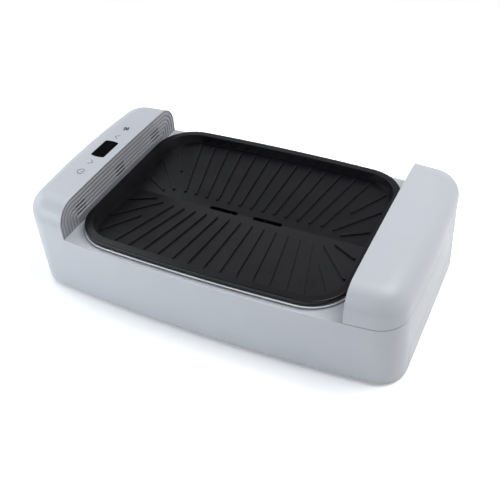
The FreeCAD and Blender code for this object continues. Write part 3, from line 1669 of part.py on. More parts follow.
base_lip = cell("base_lip")
web_width = cell("web")
post_end_inset = cell("post_end_inset")
post_corner_inset = cell("post_corner_inset")
post_side_inset = cell("post_side_inset")
side_post_x = cell("side_post_x")
corner_web = cell("corner_web")
exhaust_pitch = cell("exhaust_pitch")
exhaust_width = cell("exhaust_width")
suction_margin = cell("suction_margin")
suction_side_inset = cell("suction_side_inset")
peg_radius = cell("peg_radius")
peg_length = cell("peg_length")
peg_dip = cell("peg_dip")
end_peg_inset = cell("end_peg_inset")
side_peg_inset = cell("side_peg_inset")
side_peg_step = cell("side_peg_step")
fit = cell("fit")
panel_gap = cell("panel_gap")
panel_fit = cell("panel_fit")
seam = cell("seam")
pilot = cell("pilot")
running_gap = cell("running_gap")
margin = cell("margin")
sheet_steel = cell("sheet")
pan_round = cell("pan_round")
liner_gap = cell("liner_gap")
chamber_depth = cell("chamber_depth")
flange_reach = cell("flange_reach")
hem_depth = cell("hem_depth")
drain_half_length = cell("drain_half_length")
drain_half_width = cell("drain_half_width")
drain_corner = cell("drain_corner")
tab_spacing = cell("tab_spacing")
tab_width = cell("tab_width")
tube_radius = cell("tube_radius")
element_rise = cell("element_rise")
run_spacing = cell("run_spacing")
run_end_inset = cell("run_end_inset")
support_gap = cell("support_gap")
support_overhang = cell("support_overhang")
tube_end = cell("tube_end")
bush_wall = cell("bush_wall")
bush_flange = cell("bush_flange")
bush_depth = cell("bush_depth")
terminal_width = cell("terminal_width")
terminal_length = cell("terminal_length")
terminal_thickness = cell("terminal_thickness")
cutout_drop = cell("cutout_drop")
cutout_half_width = cell("cutout_half_width")
cutout_half_height = cell("cutout_half_height")
cutout_radius = cell("cutout_radius")
cutout_depth = cell("cutout_depth")
drawer_side_inset = cell("drawer_side_inset")
drawer_top = cell("drawer_top")
tray_side_inset = cell("tray_side_inset")
tray_lip = cell("tray_lip")
tray_clearance = cell("tray_clearance")
tray_drop = cell("tray_drop")
tray_wall = cell("tray_wall")
tray_overrun = cell("tray_overrun")
tray_round = cell("tray_round")
tray_corner = cell("tray_corner")
lip_corner = cell("lip_corner")
rail_sheet = cell("rail_sheet")
rail_foot = cell("rail_foot")
rail_guide = cell("rail_guide")
front_post_radius = cell("front_post_radius")
front_screw_inner = cell("front_screw_inner")
front_screw_outer = cell("front_screw_outer")
panel_thickness = cell("panel_thickness")
panel_lip = cell("panel_lip")
ridge_pitch = cell("ridge_pitch")
ridge_width = cell("ridge_width")
ridge_height = cell("ridge_height")
slot_length = cell("slot_length")
slot_height = cell("slot_height")
slot_pitch = cell("slot_pitch")
slot_middle = cell("slot_middle")
filter_depth = cell("filter_depth")
filter_edge = cell("filter_edge")
filter_inset = cell("filter_inset")
filter_top_gap = cell("filter_top_gap")
filter_bottom_gap = cell("filter_bottom_gap")
filter_side_gap = cell("filter_side_gap")
hanger_spacing = cell("hanger_spacing")
window_half_length = cell("window_half_length")
window_half_width = cell("window_half_width")
window_bow = cell("window_bow")
window_corner = cell("window_corner")
window_thickness = cell("window_thickness")
window_step = cell("window_step")
window_y = cell("window_y")
window_ledge = cell("window_ledge")
digits_inset = cell("digits_inset")
board_thickness = cell("board_thickness")
control_board_drop = cell("control_board_drop")
control_board_half_width = cell("control_board_half_width")
control_board_half_length = cell("control_board_half_length")
board_screw_x = cell("board_screw_x")
board_screw_y = cell("board_screw_y")
board_post_radius = cell("board_post_radius")
touch_radius = cell("touch_radius")
touch_near = cell("touch_near")
touch_near_inner = cell("touch_near_inner")
touch_far_inner = cell("touch_far_inner")
touch_far = cell("touch_far")
blower_gap = cell("blower_gap")
wheel_gap = cell("wheel_gap")
wheel_height = cell("wheel_height")
case_height = cell("case_height")
case_wall = cell("case_wall")
left_blower_inset = cell("left_blower_inset")
blower_air_gap = cell("blower_air_gap")
right_blower_y = cell("right_blower_y")
duct_setback = cell("duct_setback")
duct_overrun = cell("duct_overrun")
shelf_rise = cell("shelf_rise")
shelf_thickness = cell("shelf_thickness")
shelf_side_inset = cell("shelf_side_inset")
shelf_overrun = cell("shelf_overrun")
shelf_end_gap = cell("shelf_end_gap")
ear_radius = cell("ear_radius")
ear_height = cell("ear_height")
ear_gap = cell("ear_gap")
spacer_radius = cell("spacer_radius")
motor_radius = cell("motor_radius")
motor_height = cell("motor_height")
shaft_radius = cell("shaft_radius")
shaft_length = cell("shaft_length")
hub_radius = cell("hub_radius")
hub_wall = cell("hub_wall")
eye_margin = cell("eye_margin")
blade_depth = cell("blade_depth")
blade_bulge = cell("blade_bulge")
blade_thickness = cell("blade_thickness")
air_slot_length = cell("air_slot_length")
air_slot_width = cell("air_slot_width")
air_slot_pitch = cell("air_slot_pitch")
inlet_step = cell("inlet_step")
inlet_z = cell("inlet_z")
inlet_half_length = cell("inlet_half_length")
inlet_half_height = cell("inlet_half_height")
inlet_recess = cell("inlet_recess")
inlet_body = cell("inlet_body_depth")
inlet_mouth = cell("inlet_mouth_depth")
inlet_wall = cell("inlet_wall")
inlet_wing = cell("inlet_wing")
inlet_wing_setback = cell("inlet_wing_setback")
pin_spacing = cell("pin_spacing")
pin_width = cell("pin_width")
pin_height = cell("pin_height")
pin_length = cell("pin_length")
power_board_inset = cell("power_board_inset")
power_board_y = cell("power_board_y")
power_board_half_width = cell("power_board_half_width")
power_board_half_length = cell("power_board_half_length")
power_board_gap = cell("power_board_gap")
part_inset = cell("part_inset")
part_setback = cell("part_setback")
relay_length = cell("relay_length")
relay_width = cell("relay_width")
relay_height = cell("relay_height")
coil_width = cell("coil_width")
coil_height = cell("coil_height")
capacitor_radius = cell("capacitor_radius")
capacitor_height = cell("capacitor_height")
small_capacitor_radius = cell("small_capacitor_radius")
small_capacitor_height = cell("small_capacitor_height")
fuse_radius = cell("fuse_radius")
fuse_length = cell("fuse_length")
screw_radius = cell("screw_radius")
head_radius = cell("head_radius")
head_height = cell("head_height")
sink_depth = cell("sink_depth")
base_screw = cell("base_screw_length")
short_screw = cell("short_screw_length")
post_radius = cell("post_radius")
foot_radius = cell("foot_radius")

# Main outlines, from the plate outwards
tower_face = plate_half_length + tower_gap
deck_half_length = tower_face + tower_length
base_half_length = deck_half_length + end_flare
deck_half_depth = plate_half_depth + ledge
base_half_depth = deck_half_depth - side_draft
tower_half_width = deck_half_depth - bow
tower_height = deck_height + tower_rise
floor_top = foot_height + wall
bow_radius = arc_radius(tower_face, bow)
end_radius = arc_radius(deck_half_depth, end_bow)
crown_radius = arc_radius(tower_half_width, crown)
plate_bow_radius = arc_radius(plate_half_length, plate_bow)
window_bow_radius = arc_radius(window_half_length, window_bow)

# Places of posts, pegs and feet
end_post_x = deck_half_length - post_end_inset
end_post_y = deck_half_depth - post_corner_inset
side_post_y = deck_half_depth - post_side_inset
side_web = base_half_depth - side_post_y - web_width
end_peg_y = deck_half_depth - end_peg_inset
end_peg_wall = deck_half_length - end_peg_y * end_peg_y / (2 * end_radius)
end_peg_x = end_peg_wall - wall - 1.5 * peg_radius
side_peg_x = tower_face + side_peg_step
side_peg_y = tower_half_width - side_peg_inset
side_peg_web = side_peg_inset - wall - fit
foot_x = base_half_length - foot_end_inset
foot_y = base_half_depth - foot_side_inset
screw_sink = foot_height + sink_depth

# Plate
rim_top = deck_height + rim_lift
floor_low = rim_top - pan_depth
rib_pitch_inside = (plate_half_length - fan_inner_inset) / 6
rib_pitch_outside = (plate_half_length - fan_outer_inset) / 6
rib_outer_end = plate_half_depth - rib_side_inset
corner_ribs = [
    ((plate_half_length - outer_rib_start, plate_half_depth - outer_rib_start_drop),
     (plate_half_length - outer_rib_end, plate_half_depth - outer_rib_end_drop)),
    ((plate_half_length - middle_rib_start, rib_inner_end - middle_rib_lead),
     (plate_half_length - middle_rib_end, plate_half_depth - middle_rib_end_drop)),
    ((plate_half_length - inner_rib_start, rib_inner_end - inner_rib_lead),
     (plate_half_length - inner_rib_end, rib_inner_end + inner_rib_rise)),
]

# Liner and element
liner_step = rim_width - plate_wall - liner_gap - sheet_steel
liner_half_length = plate_half_length - liner_step
liner_half_depth = plate_half_depth - liner_step
liner_corner = plate_corner - liner_step
liner_floor = floor_low - chamber_depth
flange_top = rim_top - rim_depth - fit
element_height = liner_floor + element_rise
run_end = plate_half_length - run_end_inset
outer_run = 1.5 * run_spacing
bush_radius = tube_radius + bush_wall
tube_end_x = -liner_half_length - tube_end
support_x = drain_half_length + support_gap
support_foot = 2 * web_width

# Drawer
drawer_half_width = deck_half_depth - drawer_side_inset
tray_half_width = drawer_half_width - tray_side_inset
tray_floor = floor_top + tray_clearance
tray_top = drawer_top - tray_drop
tray_back = drain_half_length + tray_overrun
front_inside = base_half_length - base_lip + panel_gap

# Control panel and filter
window_x = tower_face + window_step
control_board_height = tower_height - control_board_drop
filter_low = deck_height + filter_bottom_gap
filter_top = tower_height - filter_top_gap
filter_front = tower_face + panel_thickness + ridge_height + fit
filter_back = filter_front + filter_depth
filter_half_width = tower_half_width - arch_round - filter_side_gap

# Blowers
case_radius = (tower_length - 2 * (wall + blower_gap)) / 2
wheel_radius = case_radius - wheel_gap
blower_x = tower_face + case_radius + case_wall
left_blower_y = left_blower_inset - deck_half_depth
left_blower_top = floor_top + blower_air_gap + case_height + case_wall
left_duct = case_radius + duct_overrun
right_duct = base_half_depth - wall - duct_setback - right_blower_y
shelf_height = drawer_top + shelf_rise
shelf_half_length = deck_half_depth - shelf_side_inset
shelf_corner = 2 * tower_length / 5
outlet_x = blower_x - (case_radius + 4 * case_wall) / 2
outlet_low = shelf_height + shelf_thickness + case_wall
outlet_high = shelf_height + shelf_thickness + case_height
ear_reach = case_radius + case_wall + ear_gap

# Power
inlet_x = tower_face - inlet_step
inlet_face = base_half_depth - inlet_recess
power_board_x = deck_half_length - power_board_inset
power_board_low = floor_top + power_board_gap

outer_form = full_form("outer_form", Size(0, "0"), foot_height)
inner_form = full_form("inner_form", wall, floor_top)

finish(main_housing(outer_form, inner_form), "main_housing")
finish(bottom_plate(), "bottom_plate")
finish(rubber_feet(), "rubber_feet")
finish(bottom_screws(), "bottom_screws")
finish(tower_panel("vent", -1, deck_height - wall, (-1, 0, 1)), "vent_grille")
finish(display_window(), "display_window")
finish(control_board(), "control_board")
finish(control_board_screws(), "control_board_screws")
finish(display_module(), "display_module")
finish(touch_pads(), "touch_springs")
finish(steel_liner(), "steel_liner")
finish(heating_element(), "heating_element")
finish(element_supports(), "element_supports")
finish(element_bushes(), "element_bushes")
finish(element_terminals(), "element_terminals")
finish(thermal_cutout(), "thermal_cutout")
finish(grill_plate(), "grill_plate")
finish(drip_tray(), "drip_tray")
finish(drawer_front(outer_form), "drawer_front")
finish(drawer_screws(), "drawer_screws")
finish(drawer_rail("front_rail", -1), "front_rail")
finish(drawer_rail("back_rail", 1), "back_rail")
finish(tower_cover(outer_form, inner_form), "tower_cover")
finish(tower_panel("intake", 1, deck_height + seam + fit, (-1, -0.5, 0, 0.5, 1)), "intake_grille")
finish(filter_frame(), "filter_frame")
finish(filter_mesh(), "filter_mesh")
finish(blower_shelf(), "blower_shelf")
finish(shelf_screws(), "shelf_screws")
for name, side in (("left", -1), ("right", 1)):
    finish(settle(blower_case(side), side), f"{name}_blower_case")
    finish(settle(blower_lid(side), side), f"{name}_blower_lid")
    finish(settle(blower_motor(side), side), f"{name}_blower_motor")
    finish(settle(blower_wheel(side), side), f"{name}_blower_wheel")
    finish(settle(blower_screws(side), side), f"{name}_blower_screws")
finish(settle(left_blower_spacers(), -1), "left_blower_spacers")
finish(power_inlet(), "power_inlet")
finish(inlet_pins(), "inlet_pins")
finish(power_board(), "power_board")
finish(power_board_parts(), "power_board_parts")
finish(power_board_spacers(), "power_board_spacers")
finish(power_board_screws(), "power_board_screws")

doc.recompute()
failed = [item.Name for item in doc.Objects if "Invalid" in item.State or "Error" in item.State]
if failed:
    raise RuntimeError(f"these could not be made: {failed}")
os.makedirs("parts", exist_ok=True)
for node, item in nodes.items():
    shape = item.Shape
    if shape.isNull() or not shape.isValid():
        raise RuntimeError(f"{node} has no valid shape")
    shape.exportStep(f"parts/{node}.step")
    print(node, len(shape.Solids), "solids", round(shape.Volume / 1000, 2), "cm3")
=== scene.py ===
# %% [markdown]
# # A smokeless electric grill
#
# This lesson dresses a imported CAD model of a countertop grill. The solids give the sizes, so no
# piece is scaled to fit. Blender adds what a CAD kernel is poor at: how moulded plastic, non-stick
# coating, pressed steel and rubber take the light, and small things such as printed symbols,
# cross recesses in screws and the strands of a grease filter.

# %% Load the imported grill
import json
import math

import bmesh
import bpy
from mathutils import Matrix, Vector


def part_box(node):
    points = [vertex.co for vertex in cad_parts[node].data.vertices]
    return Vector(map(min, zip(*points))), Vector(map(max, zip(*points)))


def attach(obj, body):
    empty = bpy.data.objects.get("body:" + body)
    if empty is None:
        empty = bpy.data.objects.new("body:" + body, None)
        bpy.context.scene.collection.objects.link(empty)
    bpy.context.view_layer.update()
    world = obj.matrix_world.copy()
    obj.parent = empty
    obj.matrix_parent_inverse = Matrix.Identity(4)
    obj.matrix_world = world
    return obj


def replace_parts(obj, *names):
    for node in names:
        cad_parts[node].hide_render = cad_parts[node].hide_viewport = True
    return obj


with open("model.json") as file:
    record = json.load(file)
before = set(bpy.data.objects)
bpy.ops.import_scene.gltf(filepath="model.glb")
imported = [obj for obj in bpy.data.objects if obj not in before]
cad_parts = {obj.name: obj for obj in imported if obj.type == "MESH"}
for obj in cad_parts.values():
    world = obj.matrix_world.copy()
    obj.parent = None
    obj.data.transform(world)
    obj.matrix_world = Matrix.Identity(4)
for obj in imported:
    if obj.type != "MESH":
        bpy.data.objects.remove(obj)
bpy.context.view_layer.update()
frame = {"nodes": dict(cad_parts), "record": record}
nodes = frame["nodes"]

# %% [markdown]
# ## The camera
#
# The picture was taken from the front and a little to the right, looking down on the grill from a
# standing height. A camera in Blender is an object with its own axes: X to the right of the
# picture, Y up and Z out of the back. Building its matrix from those three axes keeps the slight
# tilt of the photograph, which a track-to constraint would straighten.

# %% Stand the camera where the photographer stood
AZIMUTH = math.radians(27.5)
ELEVATION = math.radians(40.41)
ROLL = math.radians(-3.23)
CAMERA_PLACE = Vector((0.35643, -0.67701, 0.67976))
FOCAL_PIXELS = 755.92
PHOTO_WIDTH = 500
SENSOR_WIDTH = 36
NEAREST_SEEN = 0.01

camera = bpy.data.objects.new("camera", bpy.data.cameras.new("camera"))
bpy.context.scene.collection.objects.link(camera)
bpy.context.scene.camera = camera
camera.data.sensor_width = SENSOR_WIDTH
camera.data.lens = FOCAL_PIXELS / PHOTO_WIDTH * SENSOR_WIDTH
camera.data.clip_start = NEAREST_SEEN

out_of_back = Vector((
    math.sin(AZIMUTH) * math.cos(ELEVATION),
    -math.cos(AZIMUTH) * math.cos(ELEVATION),
    math.sin(ELEVATION),
))
level_right = (-out_of_back).cross(Vector((0, 0, 1))).normalized()
level_up = level_right.cross(-out_of_back)
picture_right = level_right * math.cos(ROLL) + level_up * math.sin(ROLL)
picture_up = level_up * math.cos(ROLL) - level_right * math.sin(ROLL)
turn = Matrix((picture_right, picture_up, out_of_back)).transposed().to_4x4()
camera.matrix_world = Matrix.Translation(CAMERA_PLACE) @ turn
print("lens", round(camera.data.lens, 2), "mm")

# %% [markdown]
# ## Light
#
# The photograph has a white ground, a narrow soft shadow and no hard highlights, which means
# large lights close by. Its front wall grows darker from left to right, and its tops are paler
# than its walls. So weak lamps stand low at the left and in front, and the strongest one hangs
# over the right half. A cool one at the back left reaches the tower, and a faint one lends the
# plate a soft sheen. Area lamps give soft edges by their size alone. The sky is plain and dim.

# %% Hang the soft lamps
NEUTRAL = (1, 0.99, 0.985)
COOL = (0.93, 0.97, 1)
GRILL_MIDDLE = Vector((0, 0, 0.05))
LAMPS = (
    ("back_left_lamp", (-1.1, 0.5, 1.4), 0.9, 7.2, COOL),
    ("sheen_lamp", (-0.35, 1.3, 1.2), 0.9, 1.0, COOL),
    ("top_right_lamp", (0.55, 0.2, 1.2), 0.9, 12.3, NEUTRAL),
    ("low_right_lamp", (1.6, -0.15, 0.2), 0.38, 1.7, NEUTRAL),
    ("left_lamp", (-1.6, -0.1, 0.6), 0.9, 4.6, COOL),
    ("low_front_lamp", (-0.9, -0.9, 0.35), 0.6, 4.7, COOL),
    ("front_lamp", (-0.3, -1.7, 0.6), 1.2, 5.5, COOL),
)


def add_lamp(name, place, size, watts, colour):
    """A square soft lamp at a place, turned towards the grill."""
    lamp = bpy.data.lights.new(name, "AREA")
    lamp.size = size
    lamp.energy = watts
    lamp.color = colour
    holder = bpy.data.objects.new(name, lamp)
    holder.location = place
    holder.rotation_mode = "QUATERNION"
    holder.rotation_quaternion = (GRILL_MIDDLE - Vector(place)).to_track_quat("-Z", "Y")
    bpy.context.scene.collection.objects.link(holder)


for lamp_row in LAMPS:
    add_lamp(*lamp_row)
print(len(LAMPS), "lamps")

# %% Paint the sky
SKY_COLOUR = (0.93, 0.95, 1, 1)
SKY_STRENGTH = 0.03

world = bpy.data.worlds.new("studio")
bpy.context.scene.world = world
world.use_nodes = True
sky = world.node_tree.nodes["Background"]
sky.inputs["Color"].default_value = SKY_COLOUR
sky.inputs["Strength"].default_value = SKY_STRENGTH
print("sky strength", SKY_STRENGTH)

# %% [markdown]
# ## Floor and backdrop
#
# A white ground could come from more light, but that would bleach the grill too. So the floor is
# plain matt white for the light that it throws on the grill, and paler only for the rays of the
# camera, of mirrors and of glass. For those a tenth of it glows at exactly white, and the rest is
# paint bright enough to be white outside the shadow, which itself stays. Beyond the lamps' reach
# the glow takes over. A round wall glows for the same rays, so that metal mirrors a white room.

# %% Find the rays that see a background, and how far off a place is
LIT_REACH = 0.45
UNLIT_REACH = 1


def add_math(tree, operation, first, second=None):
    """A calculation with one or two linked values."""
    node = tree.nodes.new("ShaderNodeMath")
    node.operation = operation
    tree.links.new(first, node.inputs[0])
    if second is not None:
        tree.links.new(second, node.inputs[1])
    return node.outputs["Value"]


def add_white_rays(tree):
    """1 for rays that see a background straight, in a mirror or through glass, else 0."""
    rays = tree.nodes.new("ShaderNodeLightPath").outputs
    straight_or_mirrored = add_math(tree, "MAXIMUM", rays["Is Camera Ray"], rays["Is Glossy Ray"])
    return add_math(tree, "MAXIMUM", straight_or_mirrored, rays["Is Transmission Ray"])


def add_place(tree):
    """The coordinates that travel with a piece, in metres."""
    return tree.nodes.new("ShaderNodeTexCoord").outputs["Object"]


def add_vector_math(tree, operation, vector):
    """A calculation with one linked vector."""
    node = tree.nodes.new("ShaderNodeVectorMath")
    node.operation = operation
    tree.links.new(vector, node.inputs[0])
    return node


def add_distance_share(tree, near_share):
    """A share that rises from near_share round the grill to 1 out of the lamps' reach."""
    distance = add_vector_math(tree, "LENGTH", add_place(tree))
    share = tree.nodes.new("ShaderNodeMapRange")
    share.inputs["From Min"].default_value = LIT_REACH
    share.inputs["From Max"].default_value = UNLIT_REACH
    share.inputs["To Min"].default_value = near_share
    tree.links.new(distance.outputs["Value"], share.inputs["Value"])
    return share.outputs["Result"]


print("glow from", LIT_REACH, "to", UNLIT_REACH, "m")

# %% Mix the studio's white
WHITE = (1, 1, 1, 1)
FLOOR_COLOUR = (0.9, 0.9, 0.9, 1)
SEEN_FLOOR_COLOUR = (1.7, 1.7, 1.7, 1)


def add_plain_shader(tree, kind, colour):
    """A shader of one colour."""
    shader = tree.nodes.new(kind)
    shader.inputs["Color"].default_value = colour
    return shader.outputs[0]


def mix_shaders(tree, share, first, second):
    """Two shaders mixed by a linked share of the second."""
    mix = tree.nodes.new("ShaderNodeMixShader")
    tree.links.new(share, mix.inputs["Fac"])
    tree.links.new(first, mix.inputs[1])
    tree.links.new(second, mix.inputs[2])
    return mix.outputs["Shader"]


def studio_white(name, near_share):
    """Matt white paint; seen directly, a share of it glows at exactly white."""
    paint = bpy.data.materials.new(name)
    paint.use_nodes = True
    tree = paint.node_tree
    tree.nodes.clear()
    matt = add_plain_shader(tree, "ShaderNodeBsdfDiffuse", FLOOR_COLOUR)
    seen_matt = add_plain_shader(tree, "ShaderNodeBsdfDiffuse", SEEN_FLOOR_COLOUR)
    glow = add_plain_shader(tree, "ShaderNodeEmission", WHITE)
    seen = mix_shaders(tree, add_distance_share(tree, near_share), seen_matt, glow)
    out = tree.nodes.new("ShaderNodeOutputMaterial")
    tree.links.new(mix_shaders(tree, add_white_rays(tree), matt, seen), out.inputs["Surface"])
    return paint


print("seen floor", SEEN_FLOOR_COLOUR[0], "against", FLOOR_COLOUR[0])

# %% Lay the floor and stand the backdrop round it
FLOOR_REACH = 6
NEAR_GLOW = 0.1
BACKDROP_HEIGHT = 3
BACKDROP_SIDES = 48


def ring_faces(first, second, count):
    """Quads between two closed rows of points."""
    faces = []
    for index in range(count):
        after = (index + 1) % count
        faces.append((first + index, first + after, second + after, second + index))
    return faces


def circle_places(radius, count):
    """Places (x, y) round the origin, from +X on."""
    angles = [2 * math.pi * index / count for index in range(count)]
    return [(radius * math.cos(angle), radius * math.sin(angle)) for angle in angles]


def white_stage(name, points, faces, near_share):
    """A surface of the studio, whose glow grows from near_share to all of its white."""
    mesh = bpy.data.meshes.new(name)
    mesh.from_pydata(points, [], faces)
    mesh.materials.append(studio_white(name + "_white", near_share))
    surface = bpy.data.objects.new(name, mesh)
    bpy.context.scene.collection.objects.link(surface)


floor_points = [(x * FLOOR_REACH, y * FLOOR_REACH, 0) for x, y in ((-1, -1), (1, -1), (1, 1), (-1, 1))]
white_stage("floor", floor_points, [(0, 1, 2, 3)], NEAR_GLOW)
wall_foot = circle_places(FLOOR_REACH, BACKDROP_SIDES)
wall_points = [(x, y, height) for height in (0, BACKDROP_HEIGHT) for x, y in wall_foot]
white_stage("backdrop", wall_points, ring_faces(0, BACKDROP_SIDES, BACKDROP_SIDES), 1)
bpy.context.scene.view_settings.view_transform = "Standard"
print("floor", 2 * FLOOR_REACH, "m wide, backdrop", BACKDROP_HEIGHT, "m high")

# %% [markdown]
# ## Effects that many finishes share
#
# Most of these surfaces differ only in colour and gloss, but all of them have a fine grain, soft
# changes in gloss where hands and cloths have been, and edges that are never quite sharp. Each
# such effect is built once as a shader node group, with named inputs, and every material sets its
# own values. A group puts out plain values only. The shader that they feed stays in the material.

# %% Helpers for node groups
def start_group(name, outputs, kind="NodeSocketFloat", **inputs):
    """An empty shader node group with its two end nodes; an underscore in an input is a space."""
    group = bpy.data.node_groups.new(name, "ShaderNodeTree")
    for label, value in inputs.items():
        socket = group.interface.new_socket(label.replace("_", " "), in_out="INPUT",
                                            socket_type="NodeSocketFloat")
        socket.default_value = value
    for label in outputs:
        group.interface.new_socket(label, in_out="OUTPUT", socket_type=kind)
    entry = group.nodes.new("NodeGroupInput")
    leave = group.nodes.new("NodeGroupOutput")
    return group, entry, leave


def add_noise(group, entry, vector, detail, rough=0.5):
    """A noise texture that takes its scale from the group's input."""
    noise = group.nodes.new("ShaderNodeTexNoise")
    noise.inputs["Detail"].default_value = detail
    noise.inputs["Roughness"].default_value = rough
    group.links.new(vector, noise.inputs["Vector"])
    group.links.new(entry.outputs["Scale"], noise.inputs["Scale"])
    return noise.outputs["Fac"]


def add_range(group, value, span, entry=None):
    """Maps a value within a span onto 0 to 1, or onto the group's Low to High."""
    remap = group.nodes.new("ShaderNodeMapRange")
    remap.inputs["From Min"].default_value = span[0]
    remap.inputs["From Max"].default_value = span[1]
    group.links.new(value, remap.inputs["Value"])
    if entry is not None:
        group.links.new(entry.outputs["Low"], remap.inputs["To Min"])
        group.links.new(entry.outputs["High"], remap.inputs["To Max"])
    return remap.outputs["Result"]


print("three helpers")

# %% Build the slow mottle and the fine grain
MOTTLE_SPAN = (0.3, 0.7)


def build_mottle():
    """Slow changes over the surface, between two values."""
    group, entry, leave = start_group("mottle", ["Value"], Scale=20, Low=0.3, High=0.4)
    noise = add_noise(group, entry, add_place(group), 3)
    group.links.new(add_range(group, noise, MOTTLE_SPAN, entry), leave.inputs["Value"])
    return group


def build_grain():
    """The fine pebbling of a moulded or coated surface, as a height."""
    group, entry, leave = start_group("grain", ["Height"], Scale=1500)
    noise = add_noise(group, entry, add_place(group), 2, 0.6)
    group.links.new(noise, leave.inputs["Height"])
    return group


MOTTLE = build_mottle()
GRAIN = build_grain()
print(MOTTLE.name, "and", GRAIN.name)

# %% Build the brush lines and the flecks
BRUSH_STRETCH = (0.02, 1, 1)
BRUSH_SPAN = (0.25, 0.75)
FLECK_SPAN = (0.45, 0.15)


def build_brush():
    """Fine parallel lines left by rolling or brushing, along X."""
    group, entry, leave = start_group("brush", ["Height", "Roughness"], Scale=300, Low=0.2, High=0.4)
    stretch = group.nodes.new("ShaderNodeMapping")
    stretch.inputs["Scale"].default_value = BRUSH_STRETCH
    group.links.new(add_place(group), stretch.inputs["Vector"])
    noise = add_noise(group, entry, stretch.outputs["Vector"], 4, 0.65)
    group.links.new(noise, leave.inputs["Height"])
    group.links.new(add_range(group, noise, BRUSH_SPAN, entry), leave.inputs["Roughness"])
    return group


def build_flecks():
    """Scattered tiny flecks, as a mask: a share of the cells of a cell pattern, near their middles."""
    group, entry, leave = start_group("flecks", ["Mask"], Scale=900, Share=0.1)
    cells = group.nodes.new("ShaderNodeTexVoronoi")
    group.links.new(add_place(group), cells.inputs["Vector"])
    group.links.new(entry.outputs["Scale"], cells.inputs["Scale"])
    split = group.nodes.new("ShaderNodeSeparateColor")
    group.links.new(cells.outputs["Color"], split.inputs["Color"])
    chosen = add_math(group, "LESS_THAN", split.outputs["Red"], entry.outputs["Share"])
    near = add_range(group, cells.outputs["Distance"], FLECK_SPAN)
    group.links.new(add_math(group, "MULTIPLY", chosen, near), leave.inputs["Mask"])
    return group


BRUSH = build_brush()
FLECKS = build_flecks()
print(BRUSH.name, "and", FLECKS.name)

# %% [markdown]
# Two more effects read the shape instead of a pattern. The solids leave many edges sharp, and a
# sharp edge catches no light. Rounding each in the mesh would cost many faces, so the Bevel node
# only bends the normals near it. Gaps a few tenths of a millimetre wide are dark in a photograph,
# and a render with few samples misses them. Ambient occlusion finds such covered places, and its
# reach sets how near a neighbour has to be. The finishes darken their colour there: painted shade.

# %% Build the soft edges and the mask for painted crevice shade
SHAPE_SAMPLES = 8


def build_soft_edge():
    """The normal of a surface whose edges are rounded by a small radius."""
    group, entry, leave = start_group("soft_edge", ["Normal"], "NodeSocketVector", Radius=0.0005)
    bevel = group.nodes.new("ShaderNodeBevel")
    bevel.samples = SHAPE_SAMPLES
    group.links.new(entry.outputs["Radius"], bevel.inputs["Radius"])
    group.links.new(bevel.outputs["Normal"], leave.inputs["Normal"])
    return group


def build_crevice_shade():
    """1 where the near surroundings are covered and 0 in the open, between two limits of openness: where
    painted shade goes.
    """
    group, entry, leave = start_group("crevice", ["Mask"], Reach=0.0015, Closed=0.3, Open=0.62)
    around = group.nodes.new("ShaderNodeAmbientOcclusion")
    around.samples = SHAPE_SAMPLES
    covered = group.nodes.new("ShaderNodeMapRange")
    group.links.new(entry.outputs["Reach"], around.inputs["Distance"])
    group.links.new(around.outputs["AO"], covered.inputs["Value"])
    group.links.new(entry.outputs["Open"], covered.inputs["From Min"])
    group.links.new(entry.outputs["Closed"], covered.inputs["From Max"])
    group.links.new(covered.outputs["Result"], leave.inputs["Mask"])
    return group


SOFT_EDGE = build_soft_edge()
CREVICE_SHADE = build_crevice_shade()
print(SOFT_EDGE.name, "and", CREVICE_SHADE.name)

# %% [markdown]
# ## Putting a finish together
#
# Moulded or coated stock and metal stock each have a recipe: which effects they use and how
# strongly. A recipe is a function, and a finish is one call of it with its own colours and gloss.
# Every finish is kept under the name of its material slot, which the CAD record also uses.

# %% Helpers that start a material and feed its shader
finishes = {}


def shader_of(material):
    """The Principled shader of a material."""
    return material.node_tree.nodes["Principled BSDF"]


def feed(material, output, label):
    """Links a value or colour to an input of the material's shader."""
    material.node_tree.links.new(output, shader_of(material).inputs[label])


def start_material(name, **plain):
    """A material whose Principled shader has its plain values set on its own sockets."""
    material = bpy.data.materials.new(name)
    material.use_nodes = True
    for label, value in plain.items():
        shader_of(material).inputs[label.replace("_", " ")].default_value = value
    finishes[name] = material
    return material


def place_group(material, group, **values):
    """Places a node group in a material and sets its inputs; an underscore stands for a space."""
    node = material.node_tree.nodes.new("ShaderNodeGroup")
    node.node_tree = group
    for label, value in values.items():
        node.inputs[label.replace("_", " ")].default_value = value
    return node.outputs


print("four helpers")

# %% Helpers for colour and relief
FIRST_COLOUR = 6
SECOND_COLOUR = 7
MIXED_COLOUR = 2


def add_colour_mix(material, mask, second):
    """A mix towards a second colour where the mask is 1, already linked to the shader."""
    mix = material.node_tree.nodes.new("ShaderNodeMix")
    mix.data_type = "RGBA"
    mix.inputs[SECOND_COLOUR].default_value = (*second, 1)
    material.node_tree.links.new(mask, mix.inputs["Factor"])
    feed(material, mix.outputs[MIXED_COLOUR], "Base Color")
    return mix.inputs[FIRST_COLOUR]


def tint(material, mask, first, second):
    """Mixes two colours by a mask and gives the result to the shader."""
    add_colour_mix(material, mask, second).default_value = (*first, 1)


def layer_colour(material, mask, colour):
    """Lays one more colour over what the shader already has, where the mask is 1."""
    before = shader_of(material).inputs["Base Color"].links[0].from_socket
    material.node_tree.links.new(before, add_colour_mix(material, mask, colour))


def add_bump(material, height, strength, depth, edge):
    """Turns a height into a bump on softened edges; depth is the relief's height in metres."""
    bump = material.node_tree.nodes.new("ShaderNodeBump")
    bump.inputs["Strength"].default_value = strength
    bump.inputs["Distance"].default_value = depth
    material.node_tree.links.new(height, bump.inputs["Height"])
    if edge:
        soft = place_group(material, SOFT_EDGE, Radius=edge)
        material.node_tree.links.new(soft["Normal"], bump.inputs["Normal"])
    feed(material, bump.outputs["Normal"], "Normal")


print("colour sockets", FIRST_COLOUR, SECOND_COLOUR, MIXED_COLOUR)

